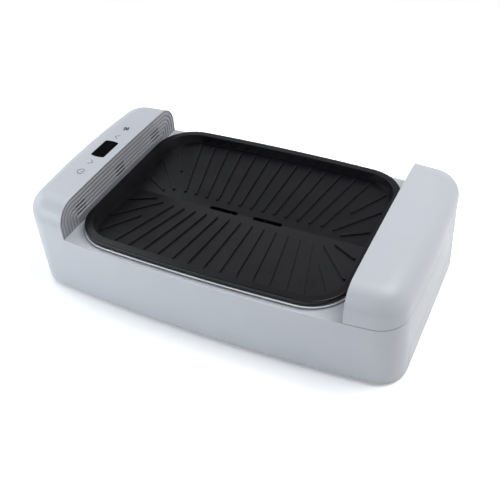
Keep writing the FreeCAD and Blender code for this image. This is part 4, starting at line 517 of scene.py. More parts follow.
# %% Write the two recipes
COLOUR_SCALE = 14
GLOSS_SCALE = 35
METAL_COLOUR_SCALE = 25
BRUSH_STRENGTH = 0.3


def moulded(name, first, second, low, high, grain=1500, relief=0.00002, strength=0.35, edge=0, **plain):
    """Moulded or coated stock: two near colours, uneven gloss and a fine grain."""
    material = start_material(name, **plain)
    colour = place_group(material, MOTTLE, Scale=COLOUR_SCALE, Low=0, High=1)
    gloss = place_group(material, MOTTLE, Scale=GLOSS_SCALE, Low=low, High=high)
    fine = place_group(material, GRAIN, Scale=grain)
    tint(material, colour["Value"], first, second)
    feed(material, gloss["Value"], "Roughness")
    add_bump(material, fine["Height"], strength, relief, edge)
    return material


def metal(name, first, second, low, high, scale=300, relief=0.00001, edge=0):
    """Rolled or turned metal: brush lines in gloss and relief, and a slow change of colour."""
    material = start_material(name, Metallic=1)
    lines = place_group(material, BRUSH, Scale=scale, Low=low, High=high)
    colour = place_group(material, MOTTLE, Scale=METAL_COLOUR_SCALE, Low=0, High=1)
    tint(material, colour["Value"], first, second)
    feed(material, lines["Roughness"], "Roughness")
    add_bump(material, lines["Height"], BRUSH_STRENGTH, relief, edge)
    return material


print("recipes for moulded and metal stock")

# %% [markdown]
# ## The housing
#
# The housing is satin silvery-white plastic, cooler and a little darker than paper. The seams
# round its cover and its drawer front are thin dark lines that tell a viewer where it comes apart.
# They are painted shade: one crevice mask with a short reach darkens the colour there. A second
# mask with a long reach paints shade into the deep hollows behind the openings, which would else
# look as pale as the outside.

# %% Mix the housing's plastic
# Painted shade: the near-black laid into the colour of the seams, where a short reach finds them covered.
SEAM_SHADE_COLOUR = (0.04, 0.044, 0.05)
SEAM_REACH = 0.0018
# Painted shade: the near-black laid into the colour of deep hollows inside the housing.
HOLLOW_SHADE_COLOUR = (0.02, 0.02, 0.022)
HOLLOW_REACH = 0.035

housing = moulded("housing_plastic", (0.585, 0.618, 0.670), (0.60, 0.633, 0.685), 0.36, 0.42,
                  grain=2600, relief=0.000012, strength=0.25, edge=0.0002)
seam_shade = place_group(housing, CREVICE_SHADE, Reach=SEAM_REACH)
layer_colour(housing, seam_shade["Mask"], SEAM_SHADE_COLOUR)
hollow_shade = place_group(housing, CREVICE_SHADE, Reach=HOLLOW_REACH, Closed=0.06, Open=0.16)
layer_colour(housing, hollow_shade["Mask"], HOLLOW_SHADE_COLOUR)
print("seams within", SEAM_REACH, "m")

# %% [markdown]
# ## The ribbed panels' plastic
#
# The two panels are moulded in a mid grey. They are ribbed, and each has slots in some of its
# grooves. A groove holds shade, so its colour is darkened as painted shade, and a slot is painted
# near black behind its edge as painted shade of the hollow behind it. Both follow from how far a
# point lies behind the panel's face, so one group measures that depth and hands out two masks.

# %% Paint shade into the grooves and slots
PANEL_FACE = abs(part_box("vent_grille")[1].x)
RIDGE_RISE = 0.0008
GROOVE_SPAN = (0.1, 0.9)
SLOT_SPAN = (1.02, 1.2)
# Painted shade: the grooves between the ridges are darkened in colour.
GROOVE_SHADE_COLOUR = (0.30, 0.312, 0.34)
# Painted shade: the slots' walls are painted near black for the dark hollow behind them.
SLOT_SHADE_COLOUR = (0.004, 0.004, 0.005)


def build_depth():
    """Two masks from the depth behind the panel's face: for painted shade in grooves, and for painted shade
    in the slots in them.
    """
    group, entry, leave = start_group("depth", ["Groove", "Slot"], Face=0.18, Rise=0.001)
    split = group.nodes.new("ShaderNodeSeparateXYZ")
    group.links.new(add_place(group), split.inputs["Vector"])
    distance = add_math(group, "ABSOLUTE", split.outputs["X"])
    behind = add_math(group, "SUBTRACT", distance, entry.outputs["Face"])
    share = add_math(group, "DIVIDE", behind, entry.outputs["Rise"])
    group.links.new(add_range(group, share, GROOVE_SPAN), leave.inputs["Groove"])
    group.links.new(add_range(group, share, SLOT_SPAN), leave.inputs["Slot"])
    return group


grille = moulded("grille_plastic", (0.42, 0.435, 0.465), (0.44, 0.455, 0.485), 0.40, 0.48,
                 grain=2200, relief=0.000012, edge=0.00012)
depth = place_group(grille, build_depth(), Face=PANEL_FACE, Rise=RIDGE_RISE)
layer_colour(grille, depth["Groove"], GROOVE_SHADE_COLOUR)
layer_colour(grille, depth["Slot"], SLOT_SHADE_COLOUR)
print("panel face at", round(PANEL_FACE, 4))

# %% [markdown]
# ## The display window
#
# The window is clear plastic over a dark digit block, and its border is printed black from
# behind. With the grill off, all of it looks black, and only the field is a shade paler. A glass
# material would have to show what lies under it, and would cost time for a difference that the
# photograph doesn't have. So it is a dark gloss with a mask for the field.

# %% Black out the window's border
WINDOW_BORDER = 0.0011
WINDOW_LOW, WINDOW_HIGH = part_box("display_window")
BORDER_BLACK = (0.0010, 0.0010, 0.0012)
FIELD_BLACK = (0.0030, 0.0036, 0.0045)


def build_field():
    """1 in the clear field of the window and 0 on its printed border; distances in metres."""
    group, entry, leave = start_group("field", ["Mask"], Half_Length=0.01, Half_Width=0.02)
    from_middle = add_vector_math(group, "SUBTRACT", add_place(group))
    from_middle.inputs[1].default_value = (WINDOW_LOW + WINDOW_HIGH) / 2
    size = add_vector_math(group, "ABSOLUTE", from_middle.outputs["Vector"])
    split = group.nodes.new("ShaderNodeSeparateXYZ")
    group.links.new(size.outputs["Vector"], split.inputs["Vector"])
    along = add_math(group, "LESS_THAN", split.outputs["X"], entry.outputs["Half Length"])
    across = add_math(group, "LESS_THAN", split.outputs["Y"], entry.outputs["Half Width"])
    group.links.new(add_math(group, "MULTIPLY", along, across), leave.inputs["Mask"])
    return group


window_half = (WINDOW_HIGH - WINDOW_LOW) / 2
window = start_material("display_black", Specular_IOR_Level=0.35)
field = place_group(window, build_field(), Half_Length=window_half.x - WINDOW_BORDER,
                    Half_Width=window_half.y - WINDOW_BORDER)
tint(window, field["Mask"], BORDER_BLACK, FIELD_BLACK)
feed(window, place_group(window, MOTTLE, Scale=60, Low=0.07, High=0.12)["Value"], "Roughness")
print("window", [round(2000 * value, 1) for value in window_half], "mm")

# %% [markdown]
# ## The plate's coating
#
# The plate is cast aluminium under a black non-stick coating: nearly black with a trace of
# violet, a soft sheen and a very fine orange-peel. Tiny pale flecks are sprayed into most such
# coatings. The specular level is held down, because a black this deep shows every reflection.

# %% Mix the plate's coating
COATING_FIRST = (0.0026, 0.0023, 0.0044)
COATING_SECOND = (0.0036, 0.0033, 0.0056)
COATING_FLECK = (0.018, 0.018, 0.022)
FLECK_SHARE = 0.05

nonstick = moulded("nonstick", COATING_FIRST, COATING_SECOND, 0.30, 0.38, grain=1300,
                   relief=0.00003, strength=0.4, edge=0.0003, Specular_IOR_Level=0.32)
specks = place_group(nonstick, FLECKS, Scale=1100, Share=FLECK_SHARE)
layer_colour(nonstick, specks["Mask"], COATING_FLECK)
print("coating with flecks in", FLECK_SHARE, "of its cells")

# %% [markdown]
# ## Metals and inner pieces
#
# What is inside is plainer, but it shows when the cover and the plate are lifted and the drawer
# is out, so each kind of stock gets its own finish. The steel of the liner is pale and even, and
# its flange is the bright line under the plate's rim. Turned screws, pins and the filter have
# much finer lines, which is the higher scale. The ink of the symbols is a matt dark grey.

# %% Mix the metals
metal("steel", (0.86, 0.87, 0.88), (0.93, 0.94, 0.95), 0.30, 0.42, edge=0.0001)
metal("zinc_steel", (0.52, 0.53, 0.55), (0.62, 0.63, 0.64), 0.25, 0.42, scale=900)
metal("brass", (0.68, 0.50, 0.22), (0.78, 0.61, 0.30), 0.18, 0.32, scale=900)
metal("aluminium_mesh", (0.60, 0.61, 0.63), (0.70, 0.71, 0.72), 0.22, 0.40, scale=700)
metal("element_sheath", (0.10, 0.085, 0.075), (0.20, 0.17, 0.14), 0.35, 0.6, scale=500)
print(len(finishes), "finishes so far")

# %% Mix the plastics, the rubber and the ink
moulded("rubber", (0.028, 0.028, 0.030), (0.045, 0.044, 0.043), 0.65, 0.8, grain=1800)
moulded("dark_plastic", (0.022, 0.022, 0.024), (0.034, 0.034, 0.036), 0.42, 0.55, grain=1800, edge=0.0004)
moulded("ceramic", (0.74, 0.71, 0.65), (0.80, 0.78, 0.73), 0.55, 0.7, grain=2500, edge=0.0003)
moulded("component", (0.030, 0.031, 0.034), (0.050, 0.050, 0.053), 0.35, 0.5, grain=2000, edge=0.0003)
moulded("foam", (0.03, 0.03, 0.03), (0.07, 0.07, 0.07), 0.85, 0.95, grain=900, relief=0.0002, strength=0.8)
moulded("symbol_ink", (0.050, 0.052, 0.058), (0.065, 0.067, 0.074), 0.5, 0.6, grain=4000, relief=0.000004)
print(len(finishes), "finishes so far")

# %% [markdown]
# ## The circuit boards
#
# A board is glass fibre under green lacquer, with the copper tracks showing through as paler
# lines. Nobody sees one until the bottom plate is off, so a brick pattern may stand for the
# tracks: its joints are the pale lines, and they also give a slight relief.

# %% Mix the green lacquer of the circuit boards
BOARD_LOOK = {
    "Scale": 160, "Mortar Size": 0.035, "Mortar": (0.05, 0.20, 0.08, 1),
    "Color1": (0.012, 0.10, 0.045, 1), "Color2": (0.015, 0.13, 0.055, 1),
}

board = start_material("circuit_board", Coat_Weight=0.4)
tracks = board.node_tree.nodes.new("ShaderNodeTexBrick")
for label, value in BOARD_LOOK.items():
    tracks.inputs[label].default_value = value
board.node_tree.links.new(add_place(board.node_tree), tracks.inputs["Vector"])
feed(board, tracks.outputs["Color"], "Base Color")
feed(board, place_group(board, MOTTLE, Scale=60, Low=0.22, High=0.35)["Value"], "Roughness")
add_bump(board, tracks.outputs["Fac"], 0.3, 0.00003, 0.0002)
print("tracks at scale", BOARD_LOOK["Scale"])

# %% [markdown]
# ## Dressing the CAD nodes
#
# The record of the part names a material slot for each of its sub-parts, and each finish was
# kept under that name. So one loop dresses them all, and no node can be forgotten.

# %% Give every CAD node its finish
for subpart in frame["record"]["subparts"]:
    node_mesh = nodes[subpart["node"]].data
    node_mesh.materials.clear()
    node_mesh.materials.append(finishes[subpart["material_slot"]])

# %% [markdown]
# ## Tools for making pieces
#
# A piece starts as points and faces in metres, already in the place where the CAD wants it. Turned
# things such as screws and feet come from rows of points, one row for each step of the profile.
# Several of them in one piece are simply joined lists. A CAD node that holds all screws of one
# place is taken apart into its separate solids first, so that each can be measured.

# %% Turn points into pieces
def add_piece(name, points, faces, body, slot, finish=None):
    """A flat-shaded mesh piece on its body, in the finish named after a slot or in another one."""
    mesh = bpy.data.meshes.new(name)
    mesh.from_pydata(points, [], faces)
    mesh.validate()
    mesh.materials.append(finishes[finish or slot])
    piece = bpy.data.objects.new(name, mesh)
    bpy.context.scene.collection.objects.link(piece)
    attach(piece, body)
    return piece


def turned(rows):
    """Points and faces of a closed body from rows of points, from its top to its bottom."""
    points = [point for row in rows for point in row]
    count = len(rows[0])
    faces = [tuple(range(count))]
    for step in range(len(rows) - 1):
        faces += ring_faces((step + 1) * count, step * count, count)
    faces.append(tuple(reversed(range(len(points) - count, len(points)))))
    return points, faces


def join(parts):
    """Several pairs of points and faces as one."""
    points = []
    faces = []
    for more_points, more_faces in parts:
        start = len(points)
        points += more_points
        faces += [tuple(start + index for index in face) for face in more_faces]
    return points, faces


print("three tools")

# %% Measure the solids of a node
SAME_PLACE = 0.000001


def island_round(vertex, waiting):
    """The points that edges connect to a vertex; each is taken out of the waiting ones."""
    to_visit = [vertex]
    island = []
    while to_visit:
        here = to_visit.pop()
        island.append(here.co.copy())
        for edge in here.link_edges:
            neighbour = edge.other_vert(here)
            if neighbour in waiting:
                waiting.remove(neighbour)
                to_visit.append(neighbour)
    return island


def islands(node):
    """The points of each separate solid of a node."""
    work = bmesh.new()
    work.from_mesh(nodes[node].data)
    bmesh.ops.remove_doubles(work, verts=work.verts, dist=SAME_PLACE)
    waiting = set(work.verts)
    found = []
    while waiting:
        found.append(island_round(waiting.pop(), waiting))
    work.free()
    return found


def corners_of(points):
    """The low and the high corner of the box round some points."""
    low = Vector([min(point[i] for point in points) for i in range(3)])
    high = Vector([max(point[i] for point in points) for i in range(3)])
    return low, high


print(len(islands("rubber_feet")), "feet,", len(islands("bottom_screws")), "screws under the base")

# %% [markdown]
# ## Printed symbols on the tower
#
# Four symbols in dark ink mark the touch pads: a ring with a line for on and off, two chevrons
# for less and more, and a small fan. An image would need a texture, and its lines would blur from
# close by. So each symbol is made of strips of ink, less than a tenth of a millimetre thick. They
# bend with the tower's crown but less than it does, which leaves the outer ones up to 0.2 mm
# clear of the plastic. No picture shows that.

# %% Lay strips of ink
MM = 0.001
TOP_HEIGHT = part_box("main_housing")[1].z
INK_BEND_RADIUS = 7.995
STROKE = 0.72 * MM
INK_TOP = 0.03 * MM
INK_BOTTOM = -0.06 * MM


def on_crown(x, y, lift):
    """A point over the tower's crowned top."""
    return (x, y, TOP_HEIGHT - y * y / INK_BEND_RADIUS / 2 + lift)


def strip(left_places, right_places):
    """Points and faces of a thin strip of ink between its left and right rows of (x, y) places."""
    points = []
    for left, right in zip(left_places, right_places):
        points += [on_crown(*left, INK_TOP), on_crown(*right, INK_TOP)]
        points += [on_crown(*right, INK_BOTTOM), on_crown(*left, INK_BOTTOM)]
    last = len(points) - 4
    faces = [(3, 2, 1, 0), tuple(range(last, last + 4))]
    for start in range(0, last, 4):
        faces += ring_faces(start, start + 4, 4)
    return points, faces


def ribbon(path, stroke):
    """A strip of one width along an open path of (x, y) places."""
    left_places = []
    right_places = []
    for index, place in enumerate(path):
        before = Vector(path[max(index - 1, 0)])
        after = Vector(path[min(index + 1, len(path) - 1)])
        along = (after - before).normalized()
        across = Vector((-along.y, along.x)) * stroke / 2
        left_places.append(Vector(place) + across)
        right_places.append(Vector(place) - across)
    return strip(left_places, right_places)


def add_symbol(name, parts):
    """One printed symbol from its strips."""
    add_piece(name, *join(parts), "base", "housing_plastic", "symbol_ink")


print("ink", round((INK_TOP - INK_BOTTOM) / MM, 3), "mm thick")

# %% Print the ring and its line
POWER_CENTRE = (-0.2030, -0.0572)
POWER_RADIUS = 4.75 * MM
POWER_GAP_HALF = 32
POWER_LINE = (0.6 * MM, 5.3 * MM)
ROUND_STEPS = 40


def arc_path(centre, radius, start, end, steps=ROUND_STEPS):
    """Places along an arc, with its angles in degrees from +X."""
    path = []
    for step in range(steps + 1):
        angle = math.radians(start + (end - start) * step / steps)
        path.append((centre[0] + radius * math.cos(angle), centre[1] + radius * math.sin(angle)))
    return path


power_ring = arc_path(POWER_CENTRE, POWER_RADIUS, POWER_GAP_HALF, 360 - POWER_GAP_HALF)
power_line = [(POWER_CENTRE[0] + reach, POWER_CENTRE[1]) for reach in POWER_LINE]
add_symbol("power_symbol", [ribbon(power_ring, STROKE), ribbon(power_line, STROKE)])
print("ring of", len(power_ring), "places")

# %% Print the two chevrons
CHEVRON_HALF = 4.6 * MM
APEX_OVERLAP = STROKE / 4
LESS = (-0.2056, -0.0345, -0.1998)
MORE = (-0.2020, 0.0299, -0.2078)


def chevron(ends_x, middle_y, apex_x):
    """The two strokes of a chevron, which overlap a little at its apex."""
    strokes = []
    for side in (-1, 1):
        end = (ends_x, middle_y + side * CHEVRON_HALF)
        apex = (apex_x, middle_y - side * APEX_OVERLAP)
        strokes.append(ribbon([end, apex], STROKE))
    return strokes


add_symbol("less_symbol", chevron(*LESS))
add_symbol("more_symbol", chevron(*MORE))
print("chevrons", round(2 * CHEVRON_HALF / MM, 1), "mm wide")

# %% Print the fan
FAN_CENTRE = (-0.2041, 0.0524)
FAN_RADIUS = 4.9 * MM
FAN_HUB = 0.9 * MM
FAN_BLADES = 4
FIRST_BLADE = 20
BLADE_SPAN = 52
BLADE_STEPS = 12
BLADE_HALF_WIDTH = 30
BLADE_FULLNESS = 0.6
HUB_HALF_WIDTH = 8
HUB_RING_SHARE = 0.6
HUB_STEPS = 16


def fan_place(radius, degrees):
    """A place round the middle of the fan."""
    angle = math.radians(degrees)
    return (FAN_CENTRE[0] + radius * math.cos(angle), FAN_CENTRE[1] + radius * math.sin(angle))


def fan_blade(start):
    """A curved blade: a leading and a trailing edge that meet at the tip, with widths in degrees."""
    lead = []
    trail = []
    for step in range(BLADE_STEPS + 1):
        share = step / BLADE_STEPS
        radius = FAN_HUB + (FAN_RADIUS - FAN_HUB) * share
        width = BLADE_HALF_WIDTH * math.sin(math.pi * share) ** BLADE_FULLNESS
        width += HUB_HALF_WIDTH * (1 - share)
        lead.append(fan_place(radius, start + BLADE_SPAN * share + width))
        trail.append(fan_place(radius, start + BLADE_SPAN * share - width))
    return strip(lead, trail)


fan_parts = [fan_blade(FIRST_BLADE + index * 360 / FAN_BLADES) for index in range(FAN_BLADES)]
fan_parts.append(ribbon(arc_path(FAN_CENTRE, FAN_HUB * HUB_RING_SHARE, 0, 360, HUB_STEPS), FAN_HUB))
add_symbol("fan_symbol", fan_parts)
print("fan with", FAN_BLADES, "blades")

# %% [markdown]
# ## The ribbed panels
#
# Each tower is closed towards the plate by a panel with six ridges, one arch inside the other.
# The CAD panel has the outline, one raised field and the slots. The grooves that part its ridges
# are modelled here, because a bump would show neither their flanks nor their open ends. Rows of
# points follow the arch at growing insets, some on the face and some 0.8 mm behind it, and quads
# join one row to the next.

# %% Follow the arch at an inset
ARCH_HALF_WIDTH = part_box("tower_cover")[1].y
ARCH_SHOULDER = 0.029
LEAST_SHOULDER = 1 * MM
ARCH_CROWN = 3.9975
PANEL_INSET = 1.0 * MM
FOOT_STEP = 2.6 * MM
SHOULDER_STEPS = 14
CROWN_STEPS = 24


def arch_row(inset, face, groove, bottom):
    """Points along the arch from one foot to the other; a foot always starts at groove depth."""
    width = ARCH_HALF_WIDTH - inset
    crown = ARCH_CROWN - inset
    shoulder = max(ARCH_SHOULDER - inset, LEAST_SHOULDER)
    rise = math.sqrt((crown - shoulder) ** 2 - (width - shoulder) ** 2)
    shoulder_end = math.atan2(rise, width - shoulder)
    low = TOP_HEIGHT - inset - crown
    row = [(groove, width, bottom), (groove, width, bottom + FOOT_STEP), (face, width, bottom + FOOT_STEP)]
    for step in range(SHOULDER_STEPS + 1):
        angle = shoulder_end * step / SHOULDER_STEPS
        row.append((face, width - shoulder + shoulder * math.cos(angle),
                    low + rise + shoulder * math.sin(angle)))
    half_way = len(row)
    for step in range(1, CROWN_STEPS):
        angle = shoulder_end + (math.pi - 2 * shoulder_end) * step / CROWN_STEPS
        row.append((face, crown * math.cos(angle), low + crown * math.sin(angle)))
    row += [(x, -y, z) for x, y, z in reversed(row[:half_way])]
    return row


print("arch of", len(arch_row(PANEL_INSET, 0, 0, 0.09)), "points")

# %% Form the ridges
RIDGES = 6
RIDGE_PITCH = 5.6 * MM
RIDGE_TOP = 1.9 * MM
RIDGE_FLANK = 0.5 * MM


def panel_rows(low, high):
    """Rows of points of a panel between two corners, from its back over its ridges inwards."""
    front, back, rise = (low.x, high.x, RIDGE_RISE) if low.x > 0 else (high.x, low.x, -RIDGE_RISE)
    groove = front + rise
    steps = [(PANEL_INSET, groove)]
    for ridge in range(RIDGES):
        start = RIDGE_PITCH * (ridge + 1) - RIDGE_FLANK - RIDGE_TOP / 2
        steps += [(start, groove), (start + RIDGE_FLANK, front)]
        steps += [(start + RIDGE_FLANK + RIDGE_TOP, front), (start + 2 * RIDGE_FLANK + RIDGE_TOP, groove)]
    rows = [arch_row(inset, face, groove, low.z) for inset, face in steps]
    return [[(back, y, z) for x, y, z in rows[0]], *rows]


def panel_shell(rows):
    """Points and faces of a closed panel from its rows."""
    points = [point for row in rows for point in row]
    count = len(rows[0])
    last = len(points) - count
    faces = [tuple(range(count))]
    for start in range(0, last, count):
        for corner in range(start, start + count - 1):
            faces.append((corner, corner + 1, corner + count + 1, corner + count))
    faces.append(tuple(range(last, last + count)))
    left_feet = list(range(0, last + 1, count))
    right_feet = [corner + count - 1 for corner in reversed(left_feet)]
    faces.append(tuple(left_feet + right_feet))
    return points, faces


print(RIDGES, "ridges every", round(RIDGE_PITCH / MM, 1), "mm")

# %% [markdown]
# The slots lie in grooves and run through the panel. Cut by hand they would break every row of
# points, so boxes are subtracted with the Boolean modifier's exact solver. Its result becomes
# the panel's mesh, and the boxes are deleted.

# %% Open the slots
SLOT_ROWS = (3, 4, 5)
SLOT_SIZE = (0.02, 20.3 * MM, 2.5 * MM)
SLOT_MIDDLE = -3.7 * MM
SLOT_PITCH = 90.3 * MM


def box_part(middle, size):
    """Points and faces of a box-shaped cutter."""
    points = []
    for x in (-0.5, 0.5):
        for y, z in ((-0.5, -0.5), (0.5, -0.5), (0.5, 0.5), (-0.5, 0.5)):
            points.append((middle[0] + x * size[0], middle[1] + y * size[1], middle[2] + z * size[2]))
    return points, [(3, 2, 1, 0), (4, 5, 6, 7), *ring_faces(0, 4, 4)]


def slot_boxes(front, columns):
    """Points and faces of the boxes that open a panel's slots."""
    boxes = []
    for row in SLOT_ROWS:
        for column in columns:
            middle = (front, SLOT_MIDDLE + SLOT_PITCH * column, TOP_HEIGHT - RIDGE_PITCH * (row + 0.5))
            boxes.append(box_part(middle, SLOT_SIZE))
    return join(boxes)


def close_shell(mesh):
    """Welds points that share a place and turns every face outwards."""
    work = bmesh.new()
    work.from_mesh(mesh)
    bmesh.ops.remove_doubles(work, verts=work.verts, dist=SAME_PLACE)
    bmesh.ops.recalc_face_normals(work, faces=work.faces)
    work.to_mesh(mesh)
    work.free()


def cut_out(piece, points, faces):
    """Subtracts closed shapes from a piece for good."""
    mesh = bpy.data.meshes.new("cutters")
    mesh.from_pydata(points, [], faces)
    close_shell(mesh)
    cutter = bpy.data.objects.new("cutters", mesh)
    bpy.context.scene.collection.objects.link(cutter)
    opening = piece.modifiers.new("slots", "BOOLEAN")
    opening.operation = "DIFFERENCE"
    opening.solver = "EXACT"
    opening.object = cutter
    bpy.context.view_layer.update()
    evaluated = piece.evaluated_get(bpy.context.evaluated_depsgraph_get())
    opened = bpy.data.meshes.new_from_object(evaluated)
    piece.modifiers.clear()
    piece.data = opened
    bpy.data.objects.remove(cutter)


print(len(SLOT_ROWS), "rows of slots")

# %% Put both panels in
PANELS = {
    "vent_grille": ("base", (-1, 0, 1)),
    "intake_grille": ("cover", (-1, -0.5, 0, 0.5, 1)),
}
for node, (body, columns) in PANELS.items():
    low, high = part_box(node)
    rows = panel_rows(low, high)
    panel = add_piece("ribbed_" + node, *panel_shell(rows), body, "grille_plastic")
    close_shell(panel.data)
    cut_out(panel, *slot_boxes(low.x if low.x > 0 else high.x, columns))
    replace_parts(panel, node)
    print(node, len(rows) - 1, "rows,", len(SLOT_ROWS) * len(columns), "slots,",
          len(panel.data.polygons), "faces")

# %% [markdown]
# ## Screws
#
# The CAD screws are plain steps. Real ones have a domed head with a cross recess, and a thread.
# The recess outline is given as a radius for each direction, so the head is still a stack of
# rings, and no Boolean is needed. The thread is drawn as plain ridges round the shank: at this
# size nobody can see that they don't climb.

# %% Give the profile of a screw
AROUND = 32
RECESS_LENGTH = 0.56
RECESS_HALF_WIDTH = 0.15
RECESS_DEPTH = 0.62
RECESS_FLOOR = 0.55
LEAST_SINE = 0.001
HEAD_RINGS = (0.3, 0.6, 0.85)
HEAD_EDGE = 0.12
HEAD_SEAT = 0.96
DOME = 0.34
RIDGE = 0.35 * MM
THREAD_PITCH = 1.1 * MM
POINT_START = 0.97
POINT_WIDTH = 0.3


def recess_radius(angle, head):
    """How far a cross-shaped recess reaches in one direction."""
    fold = angle % (math.pi / 2)
    fold = min(fold, math.pi / 2 - fold)
    end = RECESS_LENGTH / math.cos(fold)
    side = RECESS_HALF_WIDTH / max(math.sin(fold), LEAST_SINE)
    return head * min(end, side)


def dome_height(radius, head, head_height):
    """The height of the domed head at a radius."""
    return head_height * (1 - DOME * (radius / head) ** 2)


def screw_profile(head, head_height, shank, length):
    """Rows of (kind, share or radius, height) from the top down; None stands for the dome's height."""
    rows = [("cross", RECESS_FLOOR, head_height * (1 - RECESS_DEPTH)), ("cross", 1, None)]
    rows += [("blend", share, None) for share in HEAD_RINGS]
    rows += [("round", head, None), ("round", head, head_height * HEAD_EDGE)]
    rows += [("round", head * HEAD_SEAT, 0), ("round", shank, 0)]
    for ridge in range(max(int((length - THREAD_PITCH) / THREAD_PITCH), 1)):
        low = -(ridge + 0.5) * THREAD_PITCH
        rows += [("round", shank - RIDGE, low), ("round", shank, low - THREAD_PITCH / 2)]
    rows += [("round", shank - RIDGE, -length * POINT_START), ("round", shank * POINT_WIDTH, -length)]
    return rows


print("cross recess", RECESS_DEPTH, "of the head deep")

# %% Turn a screw
def turned_screw(seat, axis, head, head_height, shank, length):
    """Points and faces of one screw; seat is under its head and axis points out of its head."""
    turn_to = axis.to_track_quat("Z", "Y")
    rows = []
    for kind, value, height in screw_profile(head, head_height, shank, length):
        row = []
        for index in range(AROUND):
            angle = 2 * math.pi * index / AROUND
            cross = recess_radius(angle, head)
            radius = {"cross": cross * value, "blend": cross + (head - cross) * value, "round": value}[kind]
            level = dome_height(radius, head, head_height) if height is None else height
            local = Vector((radius * math.cos(angle), radius * math.sin(angle), level))
            row.append(tuple(seat + turn_to @ local))
        rows.append(row)
    return turned(rows)


print(AROUND, "points round a screw")

# %% [markdown]
# A screw's place, direction and sizes are measured from its CAD solid. Across its axis the box
# round the solid is square. Wide points belong to the head and narrow ones to the shank.

# %% Measure and replace the CAD screws
SAME_SIZE = 0.05 * MM
WIDE_SHARE = 0.9
NARROW_SHARE = 0.8


def measure_screw(island):
    """The seat, axis and sizes of a CAD screw, from its points."""
    low, high = corners_of(island)
    size = high - low
    middle = (low + high) / 2
    along = next(i for i in range(3) if abs(size[(i + 1) % 3] - size[(i + 2) % 3]) < SAME_SIZE)
    head = max(size[i] for i in range(3) if i != along) / 2
    spreads = [math.hypot(*(point[i] - middle[i] for i in range(3) if i != along)) for point in island]
    wide = [point[along] for point, spread in zip(island, spreads) if spread > WIDE_SHARE * head]
    shank = max(spread for spread in spreads if SAME_SIZE < spread < NARROW_SHARE * head)
    up = 1 if (min(wide) + max(wide)) / 2 > middle[along] else -1
    axis = Vector([up if i == along else 0 for i in range(3)])
    seat = middle.copy()
    seat[along] = min(wide) if up > 0 else max(wide)
    head_height = (high[along] - seat[along]) if up > 0 else (seat[along] - low[along])
    return seat, axis, head, head_height, shank, size[along] - head_height


SCREWS = {
    "bottom_screws": "base", "control_board_screws": "base", "drawer_screws": "drawer",
    "shelf_screws": "base", "left_blower_screws": "base", "right_blower_screws": "base",
    "power_board_screws": "base",
}
for node, body in SCREWS.items():
    measured = [measure_screw(island) for island in islands(node)]
    screws = join(turned_screw(*sizes) for sizes in measured)
    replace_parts(add_piece("dressed_" + node, *screws, body, "zinc_steel"), node)
    print(node, len(measured), "screws, head", round(2 * measured[0][2] / MM, 2), "mm wide")

# %% [markdown]
# ## Rubber feet
#
# A foot for a worktop is a soft disc with a groove round its sole, so that it grips like a
# suction cup and does not squeak. Its outer sizes are measured from the CAD foot, and its sole
# stays in the plane of that foot, because the whole grill stands on it.

# %% Mould the feet
SOLE_RING = 0.72
SOLE_GROOVE = 0.5
GROOVE_DEPTH = 0.7 * MM
EDGE_ROUND = 0.35 * MM
DIMPLE = 0.2
DIMPLE_FLOOR = 0.15
END_LAYER = 0.1 * MM


def foot(island):
    """Points and faces of one foot, from its plug at the top to its sole."""
    low, high = (corner.z for corner in corners_of(island))
    sole_low, sole_high = corners_of([point for point in island if point.z < low + END_LAYER])
    x = (sole_low.x + sole_high.x) / 2
    y = (sole_low.y + sole_high.y) / 2
    disc = (sole_high.x - sole_low.x) / 2
    reaches = [(math.hypot(point.x - x, point.y - y), point.z) for point in island]
    plug = max(reach for reach, z in reaches if z > high - END_LAYER)
    shoulder = max(z for reach, z in reaches if reach > WIDE_SHARE * disc)
    ring = disc * SOLE_RING
    groove = disc * SOLE_GROOVE
    profile = [
        (plug - EDGE_ROUND, high), (plug, high - EDGE_ROUND), (plug, shoulder),
        (disc - EDGE_ROUND, shoulder), (disc, shoulder - EDGE_ROUND), (disc, low + EDGE_ROUND),
        (disc - EDGE_ROUND, low), (ring, low), (ring - EDGE_ROUND, low + GROOVE_DEPTH),
        (groove + EDGE_ROUND, low + GROOVE_DEPTH), (groove, low),
        (disc * DIMPLE, low), (disc * DIMPLE_FLOOR, low + EDGE_ROUND),
    ]
    return turned([[(x + across, y + along, height) for across, along in circle_places(radius, AROUND)]
                   for radius, height in profile])


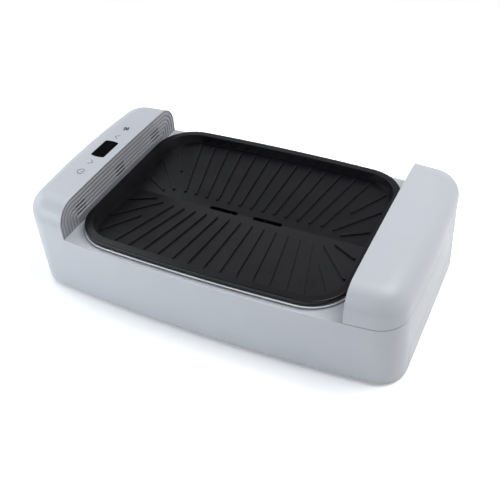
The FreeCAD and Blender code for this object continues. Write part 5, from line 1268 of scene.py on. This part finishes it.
feet = join(foot(island) for island in islands("rubber_feet"))
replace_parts(add_piece("grooved_feet", *feet, "base", "rubber"), "rubber_feet")
print("feet with a groove", round(GROOVE_DEPTH / MM, 1), "mm deep")

# %% [markdown]
# ## The grease filter's mesh
#
# Such filters are layers of expanded aluminium: a sheet is slit and pulled until the slits open
# into diamonds. Each layer is a net of diamond faces, and the Wireframe modifier turns the edges
# of those faces into strands. The diamonds lean to and fro, as pulled metal does.

# %% Expand the mesh
LAYERS = 3
DIAMOND_LENGTH = 7.0 * MM
DIAMOND_HEIGHT = 3.6 * MM
STRAND = 0.7 * MM
LEAN = 0.35 * MM


def diamond_net(x, low, high, shift):
    """Points and faces of a net of diamonds in the plane x, with whole diamonds only."""
    long_count = int((high.y - low.y) / DIAMOND_LENGTH - 0.5)
    tall_count = int((high.z - low.z) / DIAMOND_HEIGHT)
    step_y = (high.y - low.y) / (long_count + 0.5)
    step_z = (high.z - low.z) / tall_count
    numbers = {}
    points = []
    faces = []

    def corner(column, row):
        """The number of the point at a column and row of half diamonds."""
        if (column, row) not in numbers:
            numbers[column, row] = len(points)
            lean = LEAN if row % 2 else -LEAN
            points.append((x + lean, low.y + column * step_y / 2, low.z + row * step_z / 2))
        return numbers[column, row]

    for row in range(0, 2 * tall_count - 1):
        for column in range(long_count):
            left = 2 * column + (row + shift) % 2
            faces.append((corner(left, row + 1), corner(left + 1, row), corner(left + 2, row + 1),
                          corner(left + 1, row + 2)))
    return points, faces


filter_low, filter_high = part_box("filter_mesh")
strand_room = Vector((STRAND, STRAND / 2, STRAND / 2))
filter_low, filter_high = filter_low + strand_room, filter_high - strand_room
layers = []
for layer in range(LAYERS):
    layer_x = filter_low.x + (filter_high.x - filter_low.x) * (layer + 0.5) / LAYERS
    layers.append(diamond_net(layer_x, filter_low, filter_high, layer % 2))
net = add_piece("expanded_mesh", *join(layers), "cover", "aluminium_mesh")
strands = net.modifiers.new("strands", "WIREFRAME")
strands.thickness = STRAND
strands.use_even_offset = False
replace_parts(net, "filter_mesh")
print("filter of", sum(len(faces) for points, faces in layers), "diamonds")
